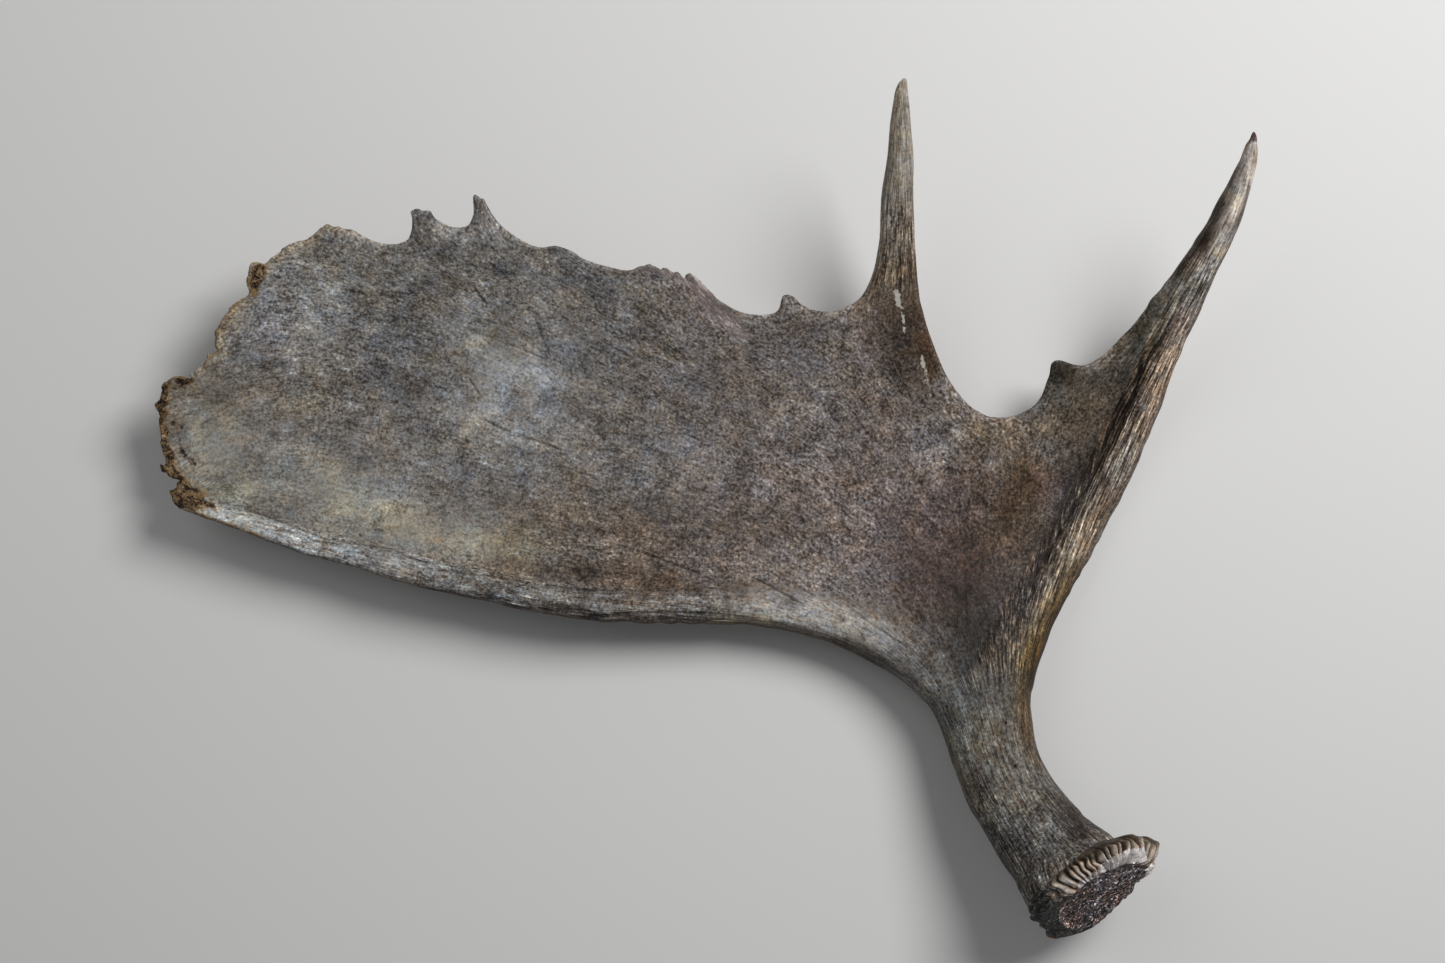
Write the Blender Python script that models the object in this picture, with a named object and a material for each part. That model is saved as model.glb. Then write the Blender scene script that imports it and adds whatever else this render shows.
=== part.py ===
"""Shed moose antler lying dish side up on a flat surface.

The antler is drawn on a plan grid, seen from straight above: u runs to the
right and v runs down, one unit is PX millimetres at the resting surface, and
the viewpoint is EYE millimetres above it.  A plan outline, the height of the
bone's middle surface, and its local thickness give the upper and the lower
face.  The burr with its seal is a turned collar on the beam's end.  The one
blank is then split at the antler's main forks.
"""

import math

import bmesh
import bpy
import numpy as np
from mathutils import Matrix, Vector
from mathutils.geometry import delaunay_2d_cdt

# ---------------------------------------------------------------- dimensions
PX = 0.62                  # mm per plan unit at the resting surface
EYE = 1600.0               # mm, height of the viewpoint over the surface
MID_U, MID_V = 722.5, 481.5      # plan point straight below the viewpoint
SHIFT_X, SHIFT_Y = -18.25, -16.05   # mm, from that point to the part's origin
GAP = 0.3                  # mm between neighbouring solids at a fork
SINK = 0.9                 # mm taken off the lowest bulges, to rest flat

EDGE_STEP = 7.2            # mm, longest step along the outline
EDGE_STEP_MIN = 2.4        # mm, shortest step, at the points' tips
CELL = 12.5                # mm, spacing of the points inside the outline
RING_ANGLES = (34.0, 68.0)       # degrees round the edge where rings lie

SEAL_U, SEAL_V, SEAL_Z = 1101.0, 889.0, 68.0   # centre of the burr's end face
SEAL_RISE = 21.0           # degrees that the end face looks upward
SEAL_TURN = -59.5          # degrees, its heading in plan, from +X
BURR_R = 37.0              # mm, radius of the coronet
SEAL_R = 31.0              # mm, radius of the flat end face
BURR_BACK = 15.0           # mm, length of the burr along the beam

# Plan outline, clockwise as seen, from the lower left end.
OUTLINE = [
    (240, 530.5), (218, 522.5), (200, 516.5), (184, 510.5), (175, 504.5),
    (170.5, 491.5), (178, 485), (175, 479), (165, 473), (160.5, 465),
    (165.2, 459), (161.5, 446), (160.3, 434), (159, 417), (155.5, 405),
    (160, 396), (162.5, 385), (172, 377.5), (186, 377), (199, 367.5),
    (205.5, 360.5), (211, 354), (216, 347), (215, 335), (220, 323.5),
    (228, 311), (238, 301.5), (248, 294.5), (246.5, 282), (249, 267),
    (256, 262), (266, 262.5), (281, 250.5), (298, 241.5), (313, 235),
    (328, 224.5), (341, 228), (356, 232), (370, 239.5), (385, 243.7),
    (398, 243.6), (408, 238.5), (412, 228), (411, 215), (417, 208.7),
    (428, 210.2), (434, 217), (444, 224), (457, 227.5), (468, 225.2),
    (473, 215), (473, 203), (475, 195), (483, 199), (488, 207),
    (496, 219.5), (508, 231), (524, 241.5), (540, 247), (556, 245.6),
    (570, 250), (585, 259.5), (602, 265), (618, 269), (633, 269.2),
    (648, 264.3), (662, 268.6), (675, 272.5), (688, 274.5), (699, 280),
    (712, 293), (727, 304.8), (742, 312), (758, 314.7), (772, 313.4),
    (779.5, 307), (782.5, 297.5), (788, 294.7), (796, 298.8), (805, 306),
    (820, 310.9), (837, 310.5), (852, 304), (863, 294), (870.4, 279.4),
    (876, 260), (879.4, 240), (880.3, 220), (881, 200), (883.5, 180),
    (886.8, 160), (888.7, 140), (890.5, 120), (893.6, 100), (897.5, 85.2),
    (904, 78.2), (907.3, 86), (909.2, 103), (911.2, 130), (913.4, 150),
    (913.7, 175), (913.5, 200), (914.4, 225), (916, 255), (918.9, 290),
    (925.2, 320), (934, 346.5), (945.5, 373.5), (960, 395), (976, 410.2),
    (992, 417.1), (1006, 417.4), (1020, 413.7), (1034, 405.8),
    (1043.7, 391.2), (1049.4, 374.4), (1052.5, 362), (1061, 360.1),
    (1078, 365), (1093, 361.8), (1108, 351), (1130, 328.5), (1150.5, 300),
    (1170, 276.9), (1187.6, 251.9), (1205.5, 225), (1220, 196.8),
    (1234.4, 169.9), (1246, 144.5), (1253.6, 132), (1257.3, 146),
    (1255.5, 168.6), (1247.2, 200.6), (1235, 235.3), (1217, 272.4),
    (1203, 304.5), (1185, 341.7), (1171, 377.1), (1158.5, 413.2),
    (1143.9, 447.1), (1130.2, 480.6), (1115.7, 508.9), (1099.4, 540.7),
    (1083.5, 569), (1067, 598.5), (1052.2, 627.4), (1040.3, 660.3),
    (1032.4, 690), (1031.5, 713.8), (1037.3, 749.2), (1050.4, 775.4),
    (1072, 802.5), (1094.6, 824.3), (1110, 835.5),
    # hidden inside the collar, and on past it
    (1131, 860), (1152, 900), (1172, 945), (1168, 985), (1130, 1006),
    (1092, 1000), (1062, 955), (1038, 912),
    # beam's outer bend and the palm's lower rim
    (1020, 888.8), (1006.5, 869.2), (989.9, 841.5), (971.9, 812.3),
    (959.6, 783.1), (951.2, 760.8), (944.3, 738.5), (935.7, 717),
    (921.9, 698.7), (907.8, 685.3), (889.5, 672.6), (869.8, 661.4),
    (850, 651.5), (830.3, 643), (809.1, 637), (789.4, 631.7),
    (769.6, 628.2), (745, 624.5), (721.9, 624.7), (695, 624.3),
    (669.8, 624.2), (645, 623.4), (620.4, 621.9), (593.6, 620.9),
    (568, 617.8), (545, 614), (520, 609.8), (495.1, 603.1), (468, 598),
    (441.6, 592.3), (415, 586.5), (388, 579), (362, 569.7), (334.2, 562.1),
    (304, 554.5), (277.8, 545.1), (257.3, 537.4),
]

# Height of the bone's middle surface: u, v, millimetres over the surface.
MIDDLE = [
    # palm's floor
    (180, 440, 30), (235, 440, 12), (300, 435, 3.7), (380, 440, 4.7),
    (450, 440, 9), (560, 455, 12), (670, 470, 13.5), (780, 490, 14),
    (880, 530, 14), (950, 570, 17), (965, 625, 23),
    # lower rim
    (178, 496, 39), (230, 515, 38), (300, 542, 36), (400, 568, 36),
    (500, 590, 35), (600, 604, 33), (700, 606, 29), (800, 615, 25),
    (880, 648, 22),
    # upper edge and its points
    (158, 405, 43), (200, 366, 49), (225, 312, 53), (252, 266, 58),
    (328, 228, 64), (390, 244, 63), (418, 212, 72), (450, 230, 66),
    (475, 197, 77), (540, 248, 61), (640, 268, 58), (740, 312, 51),
    (788, 298, 54), (830, 312, 50), (300, 330, 29), (450, 320, 28),
    (600, 345, 27), (750, 385, 25), (860, 400, 25),
    # long tine
    (897, 305, 46), (898, 250, 61), (899, 180, 86), (902, 120, 108),
    (904, 80, 122),
    # crotch
    (940, 370, 39), (1003, 420, 31), (1040, 400, 34), (985, 500, 17),
    # brow palm and its rim
    (1058, 364, 45), (1085, 368, 42), (1060, 430, 25), (1040, 520, 15),
    (1010, 590, 17), (1150, 302, 59), (1120, 345, 42), (1095, 400, 25),
    (1015, 650, 24), (1040, 600, 16.6), (1068, 545, 12), (1098, 488, 9.9),
    (1125, 435, 15.5), (1148, 380, 30), (1172, 325, 50), (1200, 260, 80),
    (1228, 200, 106), (1253, 136, 133),
    # beam
    (975, 690, 26), (992, 745, 31), (1020, 800, 40), (1055, 845, 53),
    (1101, 889, 67), (1130, 940, 78), (1150, 975, 85),
]

# Half thickness that the flat bone tends to: u, v, millimetres.
# A large number leaves the place round in section.
HALF = [
    (175, 420, 3.4), (200, 480, 3.6), (240, 400, 4.0), (260, 290, 3.4),
    (300, 350, 4.2), (300, 470, 4.6), (380, 280, 3.6), (450, 300, 4.2),
    (450, 420, 5.0), (450, 520, 5.4), (545, 280, 3.6), (600, 350, 4.5),
    (600, 450, 5.4), (600, 560, 6.5), (680, 300, 3.8), (750, 370, 5.0),
    (750, 480, 6.0), (750, 570, 8.0), (760, 330, 3.8), (850, 400, 6.0),
    (850, 340, 5.0), (850, 520, 7.5), (850, 590, 12), (930, 440, 6.5),
    (930, 520, 8.5), (930, 590, 14), (945, 640, 34), (975, 690, 90),
    (1000, 440, 6.0), (1000, 510, 7.5), (1000, 570, 11), (1000, 630, 26),
    (1045, 390, 4.6), (1060, 440, 5.0), (1060, 500, 6.5), (1100, 390, 4.4),
    (1110, 440, 6.0), (1130, 350, 5.4), (1155, 310, 8.0), (1185, 290, 30),
    (1210, 240, 90), (1250, 150, 90), (990, 750, 90), (1030, 830, 90),
    (1090, 880, 90), (1140, 960, 90), (900, 320, 9.0), (900, 285, 24),
    (900, 240, 90), (903, 110, 90), (418, 218, 8), (477, 210, 8),
    (788, 302, 6), (1060, 372, 6), (330, 232, 6),
]
HALF_REACH = 24.0          # mm, how far each of those values carries

# Thick round rims along the outline: u, v, radius in plan units.
RIM_LOWER = [
    (200, 507, 8), (250, 521, 12), (300, 540, 14), (350, 552, 15),
    (400, 567, 16), (450, 578, 17), (500, 588, 18), (550, 597, 19),
    (600, 602, 19), (650, 604, 19), (700, 604, 20), (750, 604, 21),
    (800, 611, 23), (850, 627, 26), (900, 652, 31), (935, 678, 37),
]
RIM_BROW = [
    (1000, 690, 31), (1012, 650, 28), (1030, 610, 25), (1052, 570, 23),
    (1075, 530, 21.5), (1098, 488, 20.5), (1118, 447, 19.5),
    (1138, 405, 18.5), (1156, 365, 17.5), (1175, 322, 16.5),
    (1193, 283, 16), (1210, 240, 14), (1228, 200, 12),
]

# Plan lines where the antler is split at its forks.
CUT_BEAM_V = 702.0
CUT_FORK = ((1003.0, 400.0), (1003.0, 419.0), (984.0, 702.0))
CUT_TINE_V = 302.0


# ------------------------------------------------------------------- drawing
def plan(points):
    """Plan grid to millimetres, x right and y up."""
    p = np.asarray(points, float)
    out = p.copy()
    out[:, 0] = (p[:, 0] - MID_U) * PX
    out[:, 1] = -(p[:, 1] - MID_V) * PX
    return out


def place(x, y, z):
    """Plan millimetres and a height to the part's frame, in metres."""
    k = 1.0 - z / EYE
    return np.stack([(x * k - SHIFT_X), (y * k - SHIFT_Y), z], axis=-1) * 0.001


def smooth_closed(p, n=10):
    """Dense points on a centripetal Catmull-Rom curve through p."""
    p0, p1, p2, p3 = (np.roll(p, s, axis=0) for s in (1, 0, -1, -2))
    t01 = np.sqrt(np.linalg.norm(p1 - p0, axis=1))[:, None]
    t12 = np.sqrt(np.linalg.norm(p2 - p1, axis=1))[:, None]
    t23 = np.sqrt(np.linalg.norm(p3 - p2, axis=1))[:, None]
    m1 = p2 - p1 + t12 * ((p1 - p0) / t01 - (p2 - p0) / (t01 + t12))
    m2 = p2 - p1 + t12 * ((p3 - p2) / t23 - (p3 - p1) / (t12 + t23))
    out = []
    for s in np.arange(n) / n:
        a = 2 * s**3 - 3 * s**2 + 1
        b = s**3 - 2 * s**2 + s
        c = -2 * s**3 + 3 * s**2
        d = s**3 - s**2
        out.append(a * p1 + b * m1 + c * p2 + d * m2)
    return np.stack(out, axis=1).reshape(-1, 2)


def inward(p):
    """Unit normals that point into a clockwise outline (x right, y up)."""
    t = np.roll(p, -1, axis=0) - np.roll(p, 1, axis=0)
    t /= np.linalg.norm(t, axis=1)[:, None]
    return np.stack([t[:, 1], -t[:, 0]], axis=1)


def inscribed(p, n, others):
    """Radius of the largest disc inside the outline that touches it at p."""
    out = np.empty(len(p))
    for i in range(len(p)):
        v = others - p[i]
        along = v @ n[i]
        ok = (along > 1e-3) & ((v**2).sum(axis=1) > 2.2)
        out[i] = (np.sum(v[ok]**2, axis=1) / (2 * along[ok])).min() if ok.any() else 1e3
    return out


def blur_closed(x, passes):
    for _ in range(passes):
        x = 0.25 * np.roll(x, 1) + 0.5 * x + 0.25 * np.roll(x, -1)
    return x


def resample_closed(dense, step, extra):
    """Points along a dense closed polyline, spaced by step at each place,
    and the extra value there."""
    seg = np.linalg.norm(np.roll(dense, -1, axis=0) - dense, axis=1)
    rate = seg / step
    total = np.concatenate([[0.0], np.cumsum(rate)])
    n = int(round(total[-1]))
    want = np.arange(n) * total[-1] / n
    closed = np.vstack([dense, dense[:1]])
    at = np.stack([np.interp(want, total, closed[:, k]) for k in (0, 1)], axis=1)
    return at, np.interp(want, total, np.append(extra, extra[0]))


def nearest(points, poly, chunk=2000):
    """Distance from points to a closed polyline."""
    a, b = poly, np.roll(poly, -1, axis=0)
    ab = b - a
    ll = np.maximum((ab**2).sum(axis=1), 1e-12)
    out = np.empty(len(points))
    for s in range(0, len(points), chunk):
        p = points[s:s + chunk, None, :]
        t = np.clip(((p - a) * ab).sum(-1) / ll, 0, 1)
        out[s:s + chunk] = np.sqrt(((a + t[..., None] * ab - p)**2).sum(-1).min(axis=1))
    return out


def inside(points, poly, chunk=4000):
    """Even-odd test of points against a closed polyline."""
    a, b = poly, np.roll(poly, -1, axis=0)
    out = np.empty(len(points), bool)
    for s in range(0, len(points), chunk):
        x, y = points[s:s + chunk, 0:1], points[s:s + chunk, 1:2]
        cross = (a[:, 1] > y) != (b[:, 1] > y)
        with np.errstate(divide="ignore", invalid="ignore"):
            at = a[:, 0] + (y - a[:, 1]) * (b[:, 0] - a[:, 0]) / (b[:, 1] - a[:, 1])
        out[s:s + chunk] = (np.sum(cross & (x < at), axis=1) % 2) == 1
    return out


# -------------------------------------------------------------------- fields
def thin_plate(table):
    """Smooth height field through (u, v, z) points."""
    t = np.asarray(table, float)
    q = plan(t[:, :2]) / 100.0
    z = t[:, 2]
    n = len(q)

    def kernel(a, b):
        r2 = ((a[:, None, :] - b[None, :, :])**2).sum(-1)
        return 0.5 * r2 * np.log(np.maximum(r2, 1e-12))

    m = np.zeros((n + 3, n + 3))
    m[:n, :n] = kernel(q, q) + 0.004 * np.eye(n)
    m[:n, n] = 1
    m[:n, n + 1:] = q
    m[n, :n] = 1
    m[n + 1:, :n] = q.T
    w = np.linalg.solve(m, np.concatenate([z, np.zeros(3)]))

    def field(x, y):
        p = np.stack([x, y], axis=-1) / 100.0
        return kernel(p, q) @ w[:n] + w[n] + p @ w[n + 1:]
    return field


def half_field():
    t = np.asarray(HALF, float)
    q = plan(t[:, :2])
    logs = np.log(t[:, 2])

    def field(x, y):
        p = np.stack([x, y], axis=-1)
        r2 = ((p[:, None, :] - q[None, :, :])**2).sum(-1)
        near = r2.min(axis=1, keepdims=True)
        w = np.exp(-(r2 - near) / (2 * HALF_REACH**2))
        return np.exp((w * logs).sum(axis=1) / w.sum(axis=1))
    return field


def rim_profile(table, x, y, d):
    """Half height of a round rim, from the distance d to the outline."""
    t = np.asarray(table, float)
    q = plan(t[:, :2])
    r = t[:, 2] * PX
    a, b = q[:-1], q[1:]
    ab = b - a
    ll = (ab**2).sum(axis=1)
    p = np.stack([x, y], axis=-1)[:, None, :]
    s = np.clip(((p - a) * ab).sum(-1) / ll, 0, 1)
    dist = np.sqrt(((a + s[..., None] * ab - p)**2).sum(-1))
    k = dist.argmin(axis=1)
    i = np.arange(len(x))
    f = s[i, k]
    rad = r[k] * (1 - f) + r[k + 1] * f
    off = dist[i, k]
    keep = np.clip((1.9 * rad - off) / (0.5 * rad), 0, 1)
    keep = keep * keep * (3 - 2 * keep)
    return keep * rad * np.sqrt(np.maximum(0.0, 1 - (d / rad - 1)**2))


def inflate(p, tris, fixed, kappa):
    """Half thickness squared: solves -div grad f + kappa f = 2, f = 0 at the
    outline.  It makes a strip round in section and levels off where kappa,
    which is 2 over the wanted half thickness squared, is large."""
    n = len(p)
    a, b, c = p[tris[:, 0]], p[tris[:, 1]], p[tris[:, 2]]
    area2 = np.abs((b[:, 0] - a[:, 0]) * (c[:, 1] - a[:, 1])
                   - (b[:, 1] - a[:, 1]) * (c[:, 0] - a[:, 0]))
    area2 = np.maximum(area2, 1e-9)
    ii, jj, ww = [], [], []
    for i, j, k in ((0, 1, 2), (1, 2, 0), (2, 0, 1)):
        pi, pj, pk = p[tris[:, i]], p[tris[:, j]], p[tris[:, k]]
        w = 0.5 * ((pi - pk) * (pj - pk)).sum(axis=1) / area2
        ii += [tris[:, i], tris[:, j]]
        jj += [tris[:, j], tris[:, i]]
        ww += [-w, -w]
    ii, jj, ww = (np.concatenate(v) for v in (ii, jj, ww))
    mass = np.zeros(n)
    for k in range(3):
        mass += np.bincount(tris[:, k], weights=area2 / 6, minlength=n)
    diag = -np.bincount(ii, weights=ww, minlength=n) + kappa * mass
    free = ~fixed

    def mul(x):
        y = diag * x + np.bincount(ii, weights=ww * x[jj], minlength=n)
        y[fixed] = 0
        return y

    x = np.zeros(n)
    r = 2 * mass
    r[fixed] = 0
    goal = 1e-8 * np.sqrt(r @ r)
    pre = np.where(free, 1 / np.maximum(diag, 1e-12), 0)
    z = pre * r
    d = z.copy()
    rz = r @ z
    for _ in range(4000):
        q = mul(d)
        al = rz / (d @ q)
        x += al * d
        r -= al * q
        if np.sqrt(r @ r) < goal:
            break
        z = pre * r
        new = r @ z
        d = z + (new / rz) * d
        rz = new
    return np.maximum(x, 0)


def soft_max(a, b, k):
    return 0.5 * (a + b + np.sqrt((a - b)**2 + k * k) - k)


# --------------------------------------------------------------------- blank
def net():
    """Plan triangulation: rings along the outline, even points inside."""
    dense = smooth_closed(plan(OUTLINE))
    dense = dense[::-1] if np.sum(dense[:, 0] * np.roll(dense[:, 1], -1)
                                  - np.roll(dense[:, 0], -1) * dense[:, 1]) > 0 else dense
    room = inscribed(dense, inward(dense), dense[::2])
    step = np.clip(0.42 * blur_closed(np.minimum(room, 60), 12),
                   EDGE_STEP_MIN, EDGE_STEP)
    rim, room = resample_closed(dense, step, blur_closed(room, 4))
    n = inward(rim)
    halves = half_field()(rim[:, 0], rim[:, 1])
    wide = np.maximum.reduce([rim_profile(t, rim[:, 0] + 6 * n[:, 0],
                                          rim[:, 1] + 6 * n[:, 1],
                                          np.full(len(rim), 9.0))
                              for t in (RIM_LOWER, RIM_BROW)])
    depth = np.minimum(np.maximum(np.minimum(1.5 * halves, 26.0), wide), 0.72 * room)
    depth = np.minimum(depth, blur_closed(depth, 3))
    for _ in range(60):        # neighbouring depths stay close to each other
        gap = np.linalg.norm(rim - np.roll(rim, 1, axis=0), axis=1)
        depth = np.minimum(depth, np.roll(depth, 1) + 0.8 * gap)
        gap = np.linalg.norm(rim - np.roll(rim, -1, axis=0), axis=1)
        depth = np.minimum(depth, np.roll(depth, -1) + 0.8 * gap)
    rings = [rim]
    for angle in RING_ANGLES:
        rings.append(rim + n * (depth * (1 - math.cos(math.radians(angle))))[:, None])
    last = rings[-1]
    m = len(rim)
    lo, hi = last.min(axis=0), last.max(axis=0)
    rows = int((hi[1] - lo[1]) / (CELL * 0.866)) + 1
    cols = int((hi[0] - lo[0]) / CELL) + 2
    pts = np.array([(lo[0] + CELL * (i + 0.5 * (j % 2)), lo[1] + CELL * 0.866 * (j + 0.4))
                    for j in range(rows) for i in range(cols)])
    pts = pts[inside(pts, last)]
    pts = pts[nearest(pts, last) > 0.55 * CELL]
    core = np.vstack([last, pts])
    edges = [(i, (i + 1) % m) for i in range(m)]
    out = delaunay_2d_cdt([Vector(c) for c in core], edges, [], 1, 1e-6, True)
    ids = [o[0] if o else -1 for o in out[3]]
    if min(ids) < 0:
        raise ValueError("the inner ring crosses itself")
    p = np.vstack(rings[:-1] + [core])
    base = m * (len(rings) - 1)
    tris = np.array([[ids[k] for k in f] for f in out[2]])
    kept = inside(core[tris].mean(axis=1), last)
    tris = (base + tris[kept]).tolist()
    for k in range(len(rings) - 1):
        for i in range(m):
            j = (i + 1) % m
            a, b, c, d = k * m + i, k * m + j, (k + 1) * m + j, (k + 1) * m + i
            if np.linalg.norm(p[a] - p[c]) < np.linalg.norm(p[b] - p[d]):
                tris += [[a, b, c], [a, c, d]]
            else:
                tris += [[a, b, d], [b, c, d]]
    tris = np.array(tris)
    a, b, c = p[tris[:, 0]], p[tris[:, 1]], p[tris[:, 2]]
    turn = ((b[:, 0] - a[:, 0]) * (c[:, 1] - a[:, 1])
            - (b[:, 1] - a[:, 1]) * (c[:, 0] - a[:, 0]))
    tris[turn < 0] = tris[turn < 0][:, ::-1]
    return p, tris, m


def blank_mesh():
    """The whole antler without its collar, as one closed mesh."""
    p, tris, m = net()
    fixed = np.arange(len(p)) < m
    half = half_field()(p[:, 0], p[:, 1])
    h = np.sqrt(inflate(p, tris, fixed, 2.0 / half**2))
    d = nearest(p, p[:m])
    rim = np.maximum(rim_profile(RIM_LOWER, p[:, 0], p[:, 1], d),
                     rim_profile(RIM_BROW, p[:, 0], p[:, 1], d))
    mid = thin_plate(MIDDLE)(p[:, 0], p[:, 1])
    k = np.minimum(1.5, 0.4 * d)
    scale = 1 - mid / EYE
    top = mid + scale * soft_max(h, rim, k)
    low = mid - scale * soft_max(h, 0.9 * rim, np.minimum(4.0, 0.4 * d))
    top[:m] = mid[:m]
    low[:m] = mid[:m]
    low = np.maximum(low - SINK, 0.0)
    low[:m] = np.maximum(mid[:m] - SINK, 0.0)
    top -= SINK
    top[:m] = low[:m]
    bm = bmesh.new()
    up = [bm.verts.new(v) for v in place(p[:, 0], p[:, 1], top)]
    down = up[:m] + [bm.verts.new(v) for v in place(p[m:, 0], p[m:, 1], low[m:])]
    for a, b, c in tris:
        bm.faces.new((up[a], up[b], up[c]))
        bm.faces.new((down[c], down[b], down[a]))
    bm.normal_update()
    mesh = bpy.data.meshes.new("antler_blank")
    bm.to_mesh(mesh)
    bm.free()
    return mesh


# ------------------------------------------------------------ burr and cuts
def seal_frame():
    """Centre of the seal and its axes: right, up, and out of the beam."""
    rise, turn = math.radians(SEAL_RISE), math.radians(SEAL_TURN)
    out = Vector((math.cos(rise) * math.cos(turn),
                  math.cos(rise) * math.sin(turn), math.sin(rise)))
    right = Vector((-math.sin(turn), math.cos(turn), 0.0))
    up = out.cross(right)
    c = plan([(SEAL_U, SEAL_V)])[0]
    at = Vector(place(np.array([c[0]]), np.array([c[1]]), np.array([SEAL_Z]))[0])
    return at, right, up, out


def collar_object():
    """Turned collar: the coronet ring with the flat seal on its end."""
    at, right, up, out = seal_frame()
    rings = [(-BURR_BACK, 0.80), (-0.62 * BURR_BACK, 0.95),
             (-0.32 * BURR_BACK, 1.0), (-0.10 * BURR_BACK, 0.96)]
    n = 36
    bm = bmesh.new()
    loops = []
    for along, size in rings + [(0.0, SEAL_R / BURR_R)]:
        loop = []
        for i in range(n):
            a = 2 * math.pi * i / n
            r = BURR_R * size
            if size * BURR_R > SEAL_R + 0.1:     # the ring is a little uneven
                r *= 1 + 0.035 * math.cos(a - math.pi) + 0.02 * math.cos(3 * a + 0.6)
            loop.append(bm.verts.new(at + (right * (r * math.cos(a))
                                           + up * (r * math.sin(a))
                                           + out * along) * 0.001))
        loops.append(loop)
    for one, two in zip(loops, loops[1:]):
        for i in range(n):
            j = (i + 1) % n
            bm.faces.new((one[i], one[j], two[j], two[i]))
    bm.faces.new(loops[0][::-1])
    bm.faces.new(loops[-1])
    bmesh.ops.recalc_face_normals(bm, faces=bm.faces[:])
    mesh = bpy.data.meshes.new("burr_collar")
    bm.to_mesh(mesh)
    bm.free()
    return guide("burr_collar", mesh)


def prism(name, corners, low=-20.0, high=260.0):
    """Upright cutter over a polygon of the plan, given in metres."""
    bm = bmesh.new()
    face = bm.faces.new([bm.verts.new((x, y, low * 0.001)) for x, y in corners])
    grown = bmesh.ops.extrude_face_region(bm, geom=[face])
    for v in grown["geom"]:
        if isinstance(v, bmesh.types.BMVert):
            v.co.z = high * 0.001
    bmesh.ops.recalc_face_normals(bm, faces=bm.faces[:])
    mesh = bpy.data.meshes.new(name)
    bm.to_mesh(mesh)
    bm.free()
    return guide(name, mesh)


def guide(name, mesh):
    ob = bpy.data.objects.new(name, mesh)
    bpy.context.collection.objects.link(ob)
    ob.hide_render = True
    ob.display_type = 'WIRE'
    return ob


def carve(ob, kind, other):
    m = ob.modifiers.new(kind.lower() + "_" + other.name, 'BOOLEAN')
    m.operation = kind
    m.solver = 'EXACT'
    m.object = other
    return m


def bone(name, colour, rough):
    mat = bpy.data.materials.new(name)
    mat.use_nodes = True
    bsdf = mat.node_tree.nodes["Principled BSDF"]
    bsdf.inputs["Base Color"].default_value = (*colour, 1.0)
    bsdf.inputs["Roughness"].default_value = rough
    bsdf.inputs["Metallic"].default_value = 0.0
    return mat


def at_height(u, v, z):
    c = plan([(u, v)])[0]
    return Vector(place(np.array([c[0]]), np.array([c[1]]), np.array([z]))[0]).xy


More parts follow.
